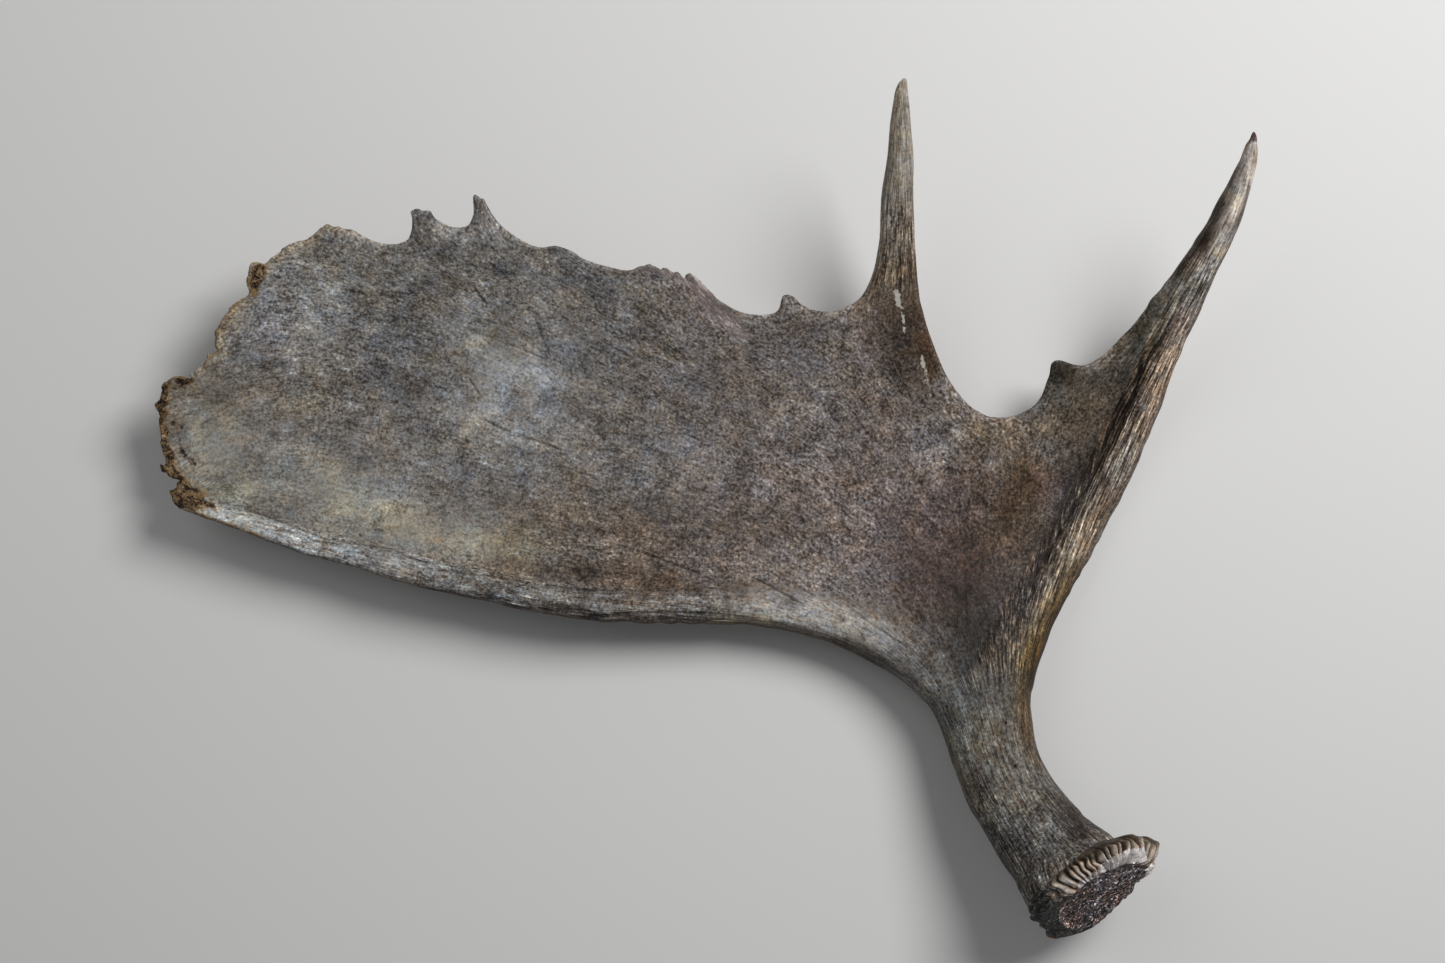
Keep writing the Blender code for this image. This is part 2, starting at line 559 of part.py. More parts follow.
def main():
    for ob in list(bpy.data.objects):
        bpy.data.objects.remove(ob, do_unlink=True)

    blank = blank_mesh()
    half_gap = 0.0005 * GAP
    y_beam = at_height(980, CUT_BEAM_V, 25).y
    y_tine = at_height(898, CUT_TINE_V, 46).y
    fork = [at_height(u, v, z) for (u, v), z in zip(CUT_FORK, (31, 31, 25))]
    far = 0.9
    x_split = at_height(945, 302, 46).x

    # the fork's line, moved to each side by half a gap
    way = (fork[2] - fork[1]).normalized()
    side = Vector((way.y, -way.x)) * half_gap
    if side.x < 0:
        side = -side
    lo = fork[2] + way * ((y_beam - fork[2].y) / way.y)
    shift = Vector((half_gap, 0.0))

    cut_beam = prism("cut_beam", [(-far, -far), (far, -far),
                                  (far, y_beam - half_gap), (-far, y_beam - half_gap)])
    cut_brow = prism("cut_brow", [(lo.x + side.x, y_beam + half_gap),
                                  (far, y_beam + half_gap), (far, far),
                                  (fork[1].x + shift.x, far),
                                  (fork[1].x + side.x, fork[1].y + side.y)])
    cut_palm = prism("cut_palm", [(-far, y_beam + half_gap),
                                  (lo.x - side.x, y_beam + half_gap),
                                  (fork[1].x - side.x, fork[1].y - side.y),
                                  (fork[1].x - shift.x, far), (x_split, far),
                                  (x_split, y_tine - half_gap),
                                  (at_height(845, 302, 46).x, y_tine - half_gap),
                                  (at_height(845, 302, 46).x, far),
                                  (-far, far)])
    cut_tine = prism("cut_tine", [(at_height(846, 302, 46).x, y_tine + half_gap),
                                  (x_split, y_tine + half_gap), (x_split, far),
                                  (at_height(846, 302, 46).x, far)])
    collar = collar_object()

    # everything past a plane just inside the seal is taken off the blank
    at, right, up, out = seal_frame()
    bm = bmesh.new()
    bmesh.ops.create_cube(bm, size=0.16)
    frame = Matrix((right, up, out)).transposed().to_4x4()
    frame.translation = at + out * (0.08 - 0.003)
    bmesh.ops.transform(bm, matrix=frame, verts=bm.verts)
    bmesh.ops.recalc_face_normals(bm, faces=bm.faces[:])
    mesh = bpy.data.meshes.new("cut_seal")
    bm.to_mesh(mesh)
    bm.free()
    cut_seal = guide("cut_seal", mesh)

    root = bpy.data.objects.new("antler", None)
    bpy.context.collection.objects.link(root)

    looks = {"beam": ((0.30, 0.27, 0.23), 0.72),
             "main_palm": ((0.27, 0.24, 0.20), 0.78),
             "long_tine": ((0.34, 0.30, 0.25), 0.66),
             "brow_palm": ((0.29, 0.25, 0.20), 0.72)}
    cuts = {"beam": cut_beam, "main_palm": cut_palm,
            "long_tine": cut_tine, "brow_palm": cut_brow}
    for name, (colour, rough) in looks.items():
        mesh = blank.copy()
        mesh.name = name
        ob = bpy.data.objects.new(name, mesh)
        bpy.context.collection.objects.link(ob)
        ob.parent = root
        ob.data.materials.append(bone(name + "_bone", colour, rough))
        carve(ob, 'INTERSECT', cuts[name])
        if name == "beam":
            carve(ob, 'DIFFERENCE', cut_seal)
            carve(ob, 'UNION', collar)
        mesh.shade_smooth()
        mesh.set_sharp_from_angle(angle=math.radians(38))
    bpy.data.meshes.remove(blank)


main()
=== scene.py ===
"""Shed moose antler, lying dish side up: the finished surface and its scene.

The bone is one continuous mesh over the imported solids, drawn on the same plan
grid: u runs to the right and v runs down, one unit is PX millimetres at the
resting surface, seen from EYE millimetres above it.
"""
import math

import bmesh
import bpy
import numpy as np
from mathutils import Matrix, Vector, kdtree
from mathutils.geometry import delaunay_2d_cdt


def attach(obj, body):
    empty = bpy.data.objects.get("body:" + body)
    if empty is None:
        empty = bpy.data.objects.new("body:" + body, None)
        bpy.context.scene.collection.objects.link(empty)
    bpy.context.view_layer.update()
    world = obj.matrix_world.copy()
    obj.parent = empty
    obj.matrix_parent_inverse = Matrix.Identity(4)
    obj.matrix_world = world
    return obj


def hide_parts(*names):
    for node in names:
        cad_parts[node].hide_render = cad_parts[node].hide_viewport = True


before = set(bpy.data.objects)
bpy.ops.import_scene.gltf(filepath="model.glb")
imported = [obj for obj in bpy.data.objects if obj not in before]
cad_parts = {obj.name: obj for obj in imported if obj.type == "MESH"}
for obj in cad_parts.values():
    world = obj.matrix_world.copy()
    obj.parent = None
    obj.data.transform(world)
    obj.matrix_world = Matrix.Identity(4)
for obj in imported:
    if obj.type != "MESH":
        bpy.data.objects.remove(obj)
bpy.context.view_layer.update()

# ---------------------------------------------------------------- dimensions
PX = 0.62
EYE = 1600.0
MID_U, MID_V = 722.5, 481.5
SHIFT_X, SHIFT_Y = -18.25, -16.05
SINK = 0.9
CELL_TOP = (1.3, 2.05)              # mm between points: ribbed bone, flat bone
CELL_LOW = (2.1, 3.3)
RING_ANGLES = (9.0, 18.0, 27.0, 36.0, 45.0, 54.0, 63.0)

SEAL_U, SEAL_V, SEAL_Z = 1101.0, 889.0, 68.0
SEAL_RISE, SEAL_TURN = 21.0, -59.5

# Outline, clockwise as seen, from the lower left end.
LEFT_END = [
    (240, 530.5), (230, 527), (220, 523.3), (210, 519.9), (200, 516.5), (192, 513.3),
    (185, 510.8), (180, 508.6), (175.3, 505), (172.6, 499.5), (170.3, 494), (170, 490.3),
    (176.3, 488.5), (177.6, 484), (179.5, 481.3), (178, 480), (174, 479), (171, 477.5),
    (169, 475), (165, 473), (162, 470.5), (161, 467), (160, 464.5), (163, 465), (165, 464),
    (165.5, 461), (165.5, 458), (164, 455), (163, 451.5), (161.5, 447), (160.5, 443),
    (161, 439), (160.5, 434), (160, 428), (159.5, 421), (159, 415), (158, 411), (156, 408),
    (155, 404.5), (157, 402), (160, 400), (160, 396), (161, 391), (162, 386), (165, 382),
    (170, 379.5), (173, 377), (178, 376), (184, 376.5), (188, 378.5), (190, 375),
    (194, 371.5), (197, 369), (199, 366.5), (201, 368), (204, 368.5), (203.5, 365),
    (205.5, 360.5), (207, 358.5), (207, 352), (210, 354.5), (214, 353), (217, 350),
    (215.5, 347), (214.5, 342), (215.5, 337), (214.5, 332), (217, 329.5), (219.5, 324.5),
    (222, 320), (225, 315.5), (228, 311.5), (230, 307.5), (235, 303.5), (240, 300),
    (245, 297), (248, 295.5), (249, 291.5), (247.5, 287), (246, 281), (247.5, 275.5),
    (248.5, 270), (249.5, 265), (252, 262.5), (257, 261.5), (261, 263), (264, 264),
    (267.5, 261.5), (271, 258), (276, 254.5), (280, 252), (282, 248.5), (287, 245.5),
    (293, 243), (300, 241), (307, 239), (312, 236), (316, 232.5), (320, 228.5),
    (324, 226), (328, 224), (331, 226), (335, 227), (339, 226.5), (342, 228.5),
]
TOP_EDGE = [
    (347, 229), (353, 230), (358, 233), (364, 236.5), (370, 239.5), (375, 241.5),
    (382, 243.2), (390, 244), (397, 243.8), (403, 242), (408, 239), (410, 235),
    (411.5, 230), (412, 225), (412, 219), (411, 214), (410, 212.5), (412, 210.5),
    (415, 208.8), (419, 208.5), (421, 210), (424, 210.5), (428, 210), (431, 211.5),
    (433, 215), (436, 219), (440, 221.5), (445, 224.5), (450, 226.5), (456, 227.5),
    (462, 227.2), (467, 226), (470, 223), (472, 218.5), (473.5, 213), (473.5, 207),
    (473, 201), (473, 197), (475, 194.5), (478, 196), (481, 198), (484, 199), (486, 203),
    (489, 208.5), (493, 215), (498, 222), (504, 228), (510, 232.5), (517, 237.5),
    (525, 242), (532, 245), (539, 247), (545, 247), (550, 246), (555, 245.5),
    (560, 246.5), (566, 248.5), (572, 251), (577, 254.5), (582, 258), (588, 260.5),
    (595, 263), (602, 265), (610, 267), (616, 268.5), (623, 269.8), (630, 270),
    (635, 268.5), (639, 266.3), (643, 266), (646, 264.5), (650, 264), (653, 265.5),
    (657, 267.5), (661, 269), (664, 267.5), (668, 269), (671, 271.5), (674, 272.5),
    (677, 272), (680, 274), (682, 276), (685, 278), (686, 275), (688, 273), (691, 273.5),
    (694, 275), (697, 278), (701, 281.5), (705, 286), (710, 291), (715, 296.2),
    (720, 300.6), (725.3, 303.8), (730, 306.6), (734.5, 309.2), (739.9, 311.5),
    (745.8, 313.4), (750, 314), (756, 314.6), (760, 314.8), (765.3, 314.6), (770, 313.9),
    (774.5, 312.6), (777.6, 310.5), (779.9, 305.9), (780.6, 302.3), (781.7, 298.7),
    (783.2, 295.8), (786.8, 294.6), (790.2, 294.9), (794, 297), (796.5, 299.2),
    (800, 302.8), (804.2, 305.7), (810, 308.8), (815, 310), (820, 310.9), (825.8, 311.4),
    (830, 311.5), (835, 311), (840, 309.6), (844.7, 307.4), (850, 305), (855.5, 301.6),
    (860, 297.9), (863.7, 293), (867.8, 285.4),
]
LONG_TINE = [
    (870.4, 279.4), (873.7, 270), (876, 260), (877.7, 250), (879.4, 240), (880, 230),
    (880.3, 220), (880.5, 210), (881, 200), (882, 190), (883.5, 180), (885.4, 170),
    (886.8, 160), (887.9, 150), (888.7, 140), (889.5, 130), (890.5, 120), (892, 110),
    (893.6, 100), (894.7, 92.9), (896.3, 87.4), (898.5, 83.1), (901.2, 80.4),
    (903.9, 78.2), (906.1, 78.9), (906.7, 82), (907.8, 90), (908.9, 100), (909.9, 110),
    (910.6, 120), (911.2, 130), (912.3, 140), (913.4, 150), (913.8, 160), (913.8, 170),
    (913.5, 180), (913.5, 190), (913.5, 200), (913.8, 210), (914.2, 220), (914.6, 230),
    (914.8, 240), (915.5, 250), (916.3, 260), (916.9, 270), (917.7, 280), (918.9, 290),
    (920, 300), (922.7, 310), (925.2, 320), (928.2, 330), (931.4, 339), (935.4, 350),
    (939.4, 360), (943.7, 370), (949.7, 381), (955.5, 389.3), (960, 395), (963.7, 399.7),
    (970, 406), (980, 412.5), (985.4, 415.4), (990, 416.8), (994.6, 417.5),
    (1000, 417.7), (1005, 417.5), (1010, 417), (1015.4, 415.6), (1020, 413.7),
    (1030, 408.8), (1035, 405), (1040, 398.7), (1043.7, 391.2), (1046.5, 382.5),
    (1049.4, 374.4),
]
BROW = [
    (1050.2, 368), (1051.4, 363.5), (1054.6, 360.6), (1060, 360), (1065, 361.4),
    (1070, 363.2), (1075.4, 364.6), (1080, 365.2), (1085.8, 364.6), (1090, 363.3),
    (1095, 360.4), (1100, 357.4), (1105.4, 353), (1110, 349), (1120, 338), (1130, 328.5),
    (1140, 316.3), (1146.8, 307), (1150.5, 300), (1160, 290), (1165.1, 282.7),
    (1170, 276.9), (1176.7, 267.3), (1181.8, 260), (1187.6, 251.9), (1191.5, 246.5),
    (1195.9, 238.5), (1200, 232.7), (1205.5, 225), (1210, 216.7), (1214.5, 207),
    (1220, 196.8), (1225.4, 187.8), (1230, 178.8), (1234.4, 169.9), (1240, 159.6),
    (1243.3, 150.6), (1245.9, 144.2), (1249.7, 139.3), (1251.7, 134.6), (1253.6, 132),
    (1255.5, 133.3), (1256.8, 137.8), (1257.2, 144.2), (1257.7, 150.6), (1257.2, 159.6),
    (1255.5, 168.6), (1252.9, 178.8), (1250.1, 190.4), (1247.2, 200.6), (1244, 212.2),
    (1240.1, 223.7), (1235, 235.3), (1230, 246.8), (1222.8, 260.9), (1217, 272.4),
    (1212.6, 282.7), (1208, 293), (1203, 304.5), (1199, 314), (1194.6, 323),
    (1190, 332.1), (1185, 341.7), (1180.6, 354.2), (1175, 366), (1171, 377.1),
    (1166.6, 389.6), (1162.2, 404.4), (1158.5, 413.2), (1153.3, 425), (1148.9, 436.8),
    (1143.9, 447.1), (1140, 458.9), (1134.9, 470), (1130.2, 480.6), (1124.4, 491.6),
    (1119.6, 502.5), (1115.7, 508.9), (1110, 518.1), (1106.5, 525.8), (1102.3, 534.3),
    (1099.4, 540.7), (1095.9, 545.6), (1092.4, 554), (1090.3, 558.3), (1086.8, 563.9),
    (1082.5, 569.6), (1080, 575.9), (1076.2, 580.9), (1072.6, 587.2), (1070.5, 592.9),
    (1067, 598.5), (1063.5, 604.8), (1060, 611.9), (1056.4, 618.9), (1052.2, 627.4),
    (1050.1, 633.1), (1047.6, 640.5), (1044.4, 649.6), (1040.3, 660.3), (1036.8, 671),
]
BEAM = [
    (1034.7, 680), (1032.9, 688.5), (1031.3, 693), (1030.7, 704.6), (1031.5, 713.8),
    (1032.7, 724.6), (1034.2, 736.2), (1037.3, 749.2), (1041.2, 759.2), (1045.8, 767.7),
    (1050.4, 775.4), (1055, 782.3), (1060.4, 789.2), (1065, 794.6), (1072, 802.5),
    (1079.3, 810), (1083, 815.3), (1090, 820.6), (1094.6, 824.3), (1099.9, 827.5),
    (1105.2, 831.2), (1110, 834.5),
    # inside the burr
    (1131, 860), (1152, 900), (1172, 945), (1168, 985), (1130, 1006), (1092, 1000),
    (1062, 955), (1038, 912),
    (1024, 892.8), (1020, 888.8), (1016.9, 883), (1013.4, 878), (1006.5, 869.2),
    (1000.4, 860), (995, 850.8), (989.9, 841.5), (984.2, 831.5), (978.1, 821.5),
    (971.9, 812.3), (966.5, 801.5), (962.7, 791.5), (959.6, 783.1), (955, 770.8),
    (951.2, 760.8), (948.1, 750), (944.3, 738.5), (941, 729), (935.7, 717),
    (930, 707.5), (921.9, 698.7), (914.9, 691.9), (907.8, 685.3),
]
LOWER_RIM = [
    (899.4, 679), (889.5, 672.6), (879.6, 667), (869.8, 661.4), (859.9, 656.4),
    (850, 651.5), (840.1, 647.2), (830.3, 643), (819, 639.5), (809.1, 637),
    (799.9, 633.9), (789.4, 631.7), (779.5, 629.6), (769.6, 628.2), (759.7, 626.8),
    (750, 624.9), (740.3, 624.1), (730.4, 624.9), (721.9, 624.7), (710.7, 624.4),
    (699.4, 624), (689.5, 624.4), (679.6, 623), (669.8, 624.4), (659.9, 622.7),
    (650, 624), (638.7, 623.4), (630.3, 621.9), (620.4, 621.9), (610.5, 622.3),
    (602.1, 622.3), (593.6, 620.9), (582.3, 619.8), (571, 618.4), (560, 616.5),
    (549.9, 614.8), (540, 613.3), (534.6, 612.9), (524.8, 610.7), (514.9, 608.7),
    (505, 606.2), (495.1, 603.1), (485.3, 600.9), (474, 599.1), (462.7, 597),
    (452.8, 594.6), (441.6, 592.3), (430.3, 590.2), (420.4, 587.8), (410.5, 585),
    (402.1, 582.6), (392.2, 580.5), (382.3, 576.8), (371, 573), (365, 570.6),
    (354.7, 567.5), (344.5, 564.7), (334.2, 562.1), (321.4, 558.8), (309.9, 556.3),
    (298.3, 552.7), (288.1, 548.8), (277.8, 545.1), (267.6, 541.5), (257.3, 537.4),
    (247.1, 533.2),
]
OUTLINE = LEFT_END + TOP_EDGE + LONG_TINE + BROW + BEAM + LOWER_RIM

# Height of the bone's middle surface, as in the solids: u, v, millimetres.
MIDDLE = [
    (180, 440, 30), (235, 440, 12), (300, 435, 3.7), (380, 440, 4.7),
    (450, 440, 9), (560, 455, 12), (670, 470, 13.5), (780, 490, 14),
    (880, 530, 14), (950, 570, 17), (965, 625, 23),
    (178, 496, 39), (230, 515, 38), (300, 542, 36), (400, 568, 36),
    (500, 590, 35), (600, 604, 33), (700, 606, 29), (800, 615, 25),
    (880, 648, 22),
    (158, 405, 43), (200, 366, 49), (225, 312, 53), (252, 266, 58),
    (328, 228, 64), (390, 244, 63), (418, 212, 72), (450, 230, 66),
    (475, 197, 77), (540, 248, 61), (640, 268, 58), (740, 312, 51),
    (788, 298, 54), (830, 312, 50), (300, 330, 29), (450, 320, 28),
    (600, 345, 27), (750, 385, 25), (860, 400, 25),
    (897, 305, 46), (898, 250, 61), (899, 180, 86), (902, 120, 108),
    (904, 80, 122),
    (940, 370, 39), (1003, 420, 31), (1040, 400, 34), (985, 500, 17),
    (1058, 364, 45), (1085, 368, 42), (1060, 430, 25), (1040, 520, 15),
    (1010, 590, 17), (1150, 302, 59), (1120, 345, 42), (1095, 400, 25),
    (1015, 650, 24), (1040, 600, 16.6), (1068, 545, 12), (1098, 488, 9.9),
    (1125, 435, 15.5), (1148, 380, 30), (1172, 325, 50), (1200, 260, 80),
    (1228, 200, 106), (1253, 136, 133),
    (975, 690, 26), (992, 745, 31), (1020, 800, 40), (1055, 845, 53),
    (1101, 889, 67), (1130, 940, 78), (1150, 975, 85),
]

# Half thickness the flat bone tends to: u, v, millimetres.
HALF = [
    (175, 420, 3.4), (200, 480, 3.6), (240, 400, 4.0), (260, 290, 3.4),
    (300, 350, 4.2), (300, 470, 4.6), (380, 280, 3.6), (450, 300, 4.2),
    (450, 420, 5.0), (450, 520, 5.4), (545, 280, 3.6), (600, 350, 4.5),
    (600, 450, 5.4), (600, 560, 6.5), (680, 300, 3.8), (750, 370, 5.0),
    (750, 480, 6.0), (750, 570, 8.0), (760, 330, 3.8), (850, 400, 6.0),
    (850, 340, 5.0), (850, 520, 7.5), (850, 590, 12), (930, 440, 6.5),
    (930, 520, 8.5), (930, 590, 14), (945, 640, 34), (975, 690, 90),
    (1000, 440, 6.0), (1000, 510, 7.5), (1000, 570, 11), (1000, 630, 26),
    (1045, 390, 4.6), (1060, 440, 5.0), (1060, 500, 6.5), (1100, 390, 4.4),
    (1110, 440, 6.0), (1130, 350, 5.4), (1155, 310, 8.0), (1185, 290, 30),
    (1210, 240, 90), (1250, 150, 90), (990, 750, 90), (1030, 830, 90),
    (1090, 880, 90), (1140, 960, 90), (900, 320, 9.0), (900, 285, 24),
    (900, 240, 90), (903, 110, 90), (418, 218, 8), (477, 210, 8),
    (788, 302, 6), (1060, 372, 6), (330, 232, 6),
]
HALF_REACH = 24.0

# Thick round rims along the outline: u, v, radius in plan units.
RIM_LOWER = [
    (200, 507, 8), (250, 521, 12), (300, 540, 14), (350, 552, 15),
    (400, 567, 16), (450, 578, 17), (500, 588, 18), (550, 597, 19),
    (600, 602, 19), (650, 604, 19), (700, 604, 20), (750, 604, 21),
    (800, 611, 23), (850, 627, 26), (900, 652, 31), (935, 678, 37),
]
RIM_BROW = [
    (1000, 690, 31), (1012, 650, 28), (1030, 610, 25), (1052, 570, 23),
    (1075, 530, 21.5), (1098, 488, 20.5), (1118, 447, 19.5),
    (1138, 405, 18.5), (1156, 365, 17.5), (1175, 322, 16.5),
    (1193, 283, 16), (1210, 240, 14), (1228, 200, 12),
]

# How the growth of the bone spreads from the burr: share of the fibres that
# have left by each place of the outline, clockwise from the lower left end.
FLOW = [
    (247.1, 533.2, 0.0), (200, 516.5, 0.02), (170.3, 494, 0.15), (160, 428, 0.22),
    (188, 378.5, 0.27), (222, 320, 0.31), (249.5, 265, 0.35), (328, 224, 0.40),
    (390, 244, 0.42), (411, 214, 0.435), (421, 210, 0.46), (450, 226.5, 0.47),
    (473, 201, 0.48), (481, 198, 0.505), (545, 247, 0.53), (630, 270, 0.56),
    (694, 275, 0.60), (745.8, 313.4, 0.625), (783.2, 295.8, 0.635),
    (794, 297, 0.65), (850, 305, 0.665), (876, 260, 0.667), (896.3, 87.4, 0.672),
    (907.8, 90, 0.768), (917.7, 280, 0.774), (960, 395, 0.785),
    (1000, 417.7, 0.80), (1043.7, 391.2, 0.812), (1051.4, 363.5, 0.818),
    (1065, 361.4, 0.83), (1100, 357.4, 0.845), (1165.1, 282.7, 0.865),
    (1240, 159.6, 0.885), (1251.7, 134.6, 0.905), (1256.8, 137.8, 0.985),
    (1212.6, 282.7, 0.995), (1124.4, 491.6, 1.0), (1034.7, 680, 1.0),
    (1152, 900, 1.0), (1172, 945, 0.9), (1168, 985, 0.75), (1130, 1006, 0.5),
    (1092, 1000, 0.25), (1062, 955, 0.0),
]


# ------------------------------------------------------------------- drawing
def plan(points):
    p = np.asarray(points, float)
    out = p.copy()
    out[:, 0] = (p[:, 0] - MID_U) * PX
    out[:, 1] = -(p[:, 1] - MID_V) * PX
    return out


def place(x, y, z):
    k = 1.0 - z / EYE
    return np.stack([(x * k - SHIFT_X), (y * k - SHIFT_Y), z], axis=-1) * 0.001


def smooth_closed(p, n=6):
    p0, p1, p2, p3 = (np.roll(p, s, axis=0) for s in (1, 0, -1, -2))
    t01 = np.sqrt(np.linalg.norm(p1 - p0, axis=1))[:, None]
    t12 = np.sqrt(np.linalg.norm(p2 - p1, axis=1))[:, None]
    t23 = np.sqrt(np.linalg.norm(p3 - p2, axis=1))[:, None]
    m1 = p2 - p1 + t12 * ((p1 - p0) / t01 - (p2 - p0) / (t01 + t12))
    m2 = p2 - p1 + t12 * ((p3 - p2) / t23 - (p3 - p1) / (t12 + t23))
    out = []
    for s in np.arange(n) / n:
        a = 2 * s**3 - 3 * s**2 + 1
        b = s**3 - 2 * s**2 + s
        c = -2 * s**3 + 3 * s**2
        d = s**3 - s**2
        out.append(a * p1 + b * m1 + c * p2 + d * m2)
    return np.stack(out, axis=1).reshape(-1, 2)


def inward(p):
    t = np.roll(p, -1, axis=0) - np.roll(p, 1, axis=0)
    t /= np.maximum(np.linalg.norm(t, axis=1), 1e-9)[:, None]
    return np.stack([t[:, 1], -t[:, 0]], axis=1)


def inscribed(p, n, others):
    out = np.empty(len(p))
    for i in range(len(p)):
        v = others - p[i]
        along = v @ n[i]
        ok = (along > 1e-3) & ((v**2).sum(axis=1) > 2.2)
        out[i] = (np.sum(v[ok]**2, axis=1) / (2 * along[ok])).min() if ok.any() else 1e3
    return out


def blur_closed(x, passes):
    for _ in range(passes):
        x = 0.25 * np.roll(x, 1, axis=0) + 0.5 * x + 0.25 * np.roll(x, -1, axis=0)
    return x


def resample_closed(dense, step, extra):
    seg = np.linalg.norm(np.roll(dense, -1, axis=0) - dense, axis=1)
    total = np.concatenate([[0.0], np.cumsum(seg / step)])
    n = int(round(total[-1]))
    want = np.arange(n) * total[-1] / n
    closed = np.vstack([dense, dense[:1]])
    at = np.stack([np.interp(want, total, closed[:, k]) for k in (0, 1)], axis=1)
    return at, np.interp(want, total, np.append(extra, extra[0]))


def nearest(points, poly):
    """Distance to a closed polyline: its nearest corner, then both segments."""
    tree = kdtree.KDTree(len(poly))
    for i, p in enumerate(poly):
        tree.insert((p[0], p[1], 0.0), i)
    tree.balance()
    near = np.array([tree.find((x, y, 0.0))[1] for x, y in points])
    out = np.full(len(points), 1e9)
    m = len(poly)
    for s in (-2, -1, 0, 1):
        a, b = poly[(near + s) % m], poly[(near + s + 1) % m]
        ab = b - a
        t = np.clip(((points - a) * ab).sum(-1) / np.maximum((ab**2).sum(-1), 1e-12), 0, 1)
        out = np.minimum(out, np.sqrt(((a + t[:, None] * ab - points)**2).sum(-1)))
    return out


def inside(points, poly, chunk=6000):
    a, b = poly, np.roll(poly, -1, axis=0)
    out = np.empty(len(points), bool)
    for s in range(0, len(points), chunk):
        x, y = points[s:s + chunk, 0:1], points[s:s + chunk, 1:2]
        cross = (a[:, 1] > y) != (b[:, 1] > y)
        with np.errstate(divide="ignore", invalid="ignore"):
            at = a[:, 0] + (y - a[:, 1]) * (b[:, 0] - a[:, 0]) / (b[:, 1] - a[:, 1])
        out[s:s + chunk] = (np.sum(cross & (x < at), axis=1) % 2) == 1
    return out


# -------------------------------------------------------------------- fields
def thin_plate(table):
    t = np.asarray(table, float)
    q = plan(t[:, :2]) / 100.0
    z = t[:, 2]
    n = len(q)

    def kernel(a, b):
        r2 = ((a[:, None, :] - b[None, :, :])**2).sum(-1)
        return 0.5 * r2 * np.log(np.maximum(r2, 1e-12))

    m = np.zeros((n + 3, n + 3))
    m[:n, :n] = kernel(q, q) + 0.004 * np.eye(n)
    m[:n, n] = 1
    m[:n, n + 1:] = q
    m[n, :n] = 1
    m[n + 1:, :n] = q.T
    w = np.linalg.solve(m, np.concatenate([z, np.zeros(3)]))

    def field(x, y):
        p = np.stack([x, y], axis=-1) / 100.0
        return kernel(p, q) @ w[:n] + w[n] + p @ w[n + 1:]
    return field


def half_field():
    t = np.asarray(HALF, float)
    q = plan(t[:, :2])
    logs = np.log(t[:, 2])

    def field(x, y):
        p = np.stack([x, y], axis=-1)
        r2 = ((p[:, None, :] - q[None, :, :])**2).sum(-1)
        near = r2.min(axis=1, keepdims=True)
        w = np.exp(-(r2 - near) / (2 * HALF_REACH**2))
        return np.exp((w * logs).sum(axis=1) / w.sum(axis=1))
    return field


def along_line(table, x, y):
    """Distance to an open polyline of (u, v, value...) rows, the share of the
    way along it, and the value there."""
    t = np.asarray(table, float)
    q = plan(t[:, :2])
    a, b = q[:-1], q[1:]
    ab = b - a
    ll = (ab**2).sum(axis=1)
    p = np.stack([x, y], axis=-1)[:, None, :]
    s = np.clip(((p - a) * ab).sum(-1) / ll, 0, 1)
    dist = np.sqrt(((a + s[..., None] * ab - p)**2).sum(-1))
    k = dist.argmin(axis=1)
    i = np.arange(len(x))
    f = s[i, k]
    length = np.concatenate([[0], np.cumsum(np.sqrt(ll))])
    way = (length[k] + f * np.sqrt(ll)[k]) / length[-1]
    val = t[k, 2] * (1 - f) + t[k + 1, 2] * f if t.shape[1] > 2 else np.ones(len(x))
    return dist[i, k], way, val


def rim_profile(table, x, y, d):
    off, _, r = along_line(table, x, y)
    rad = r * PX
    keep = np.clip((1.9 * rad - off) / (0.5 * rad), 0, 1)
    keep = keep * keep * (3 - 2 * keep)
    return keep * rad * np.sqrt(np.maximum(0.0, 1 - (d / rad - 1)**2))


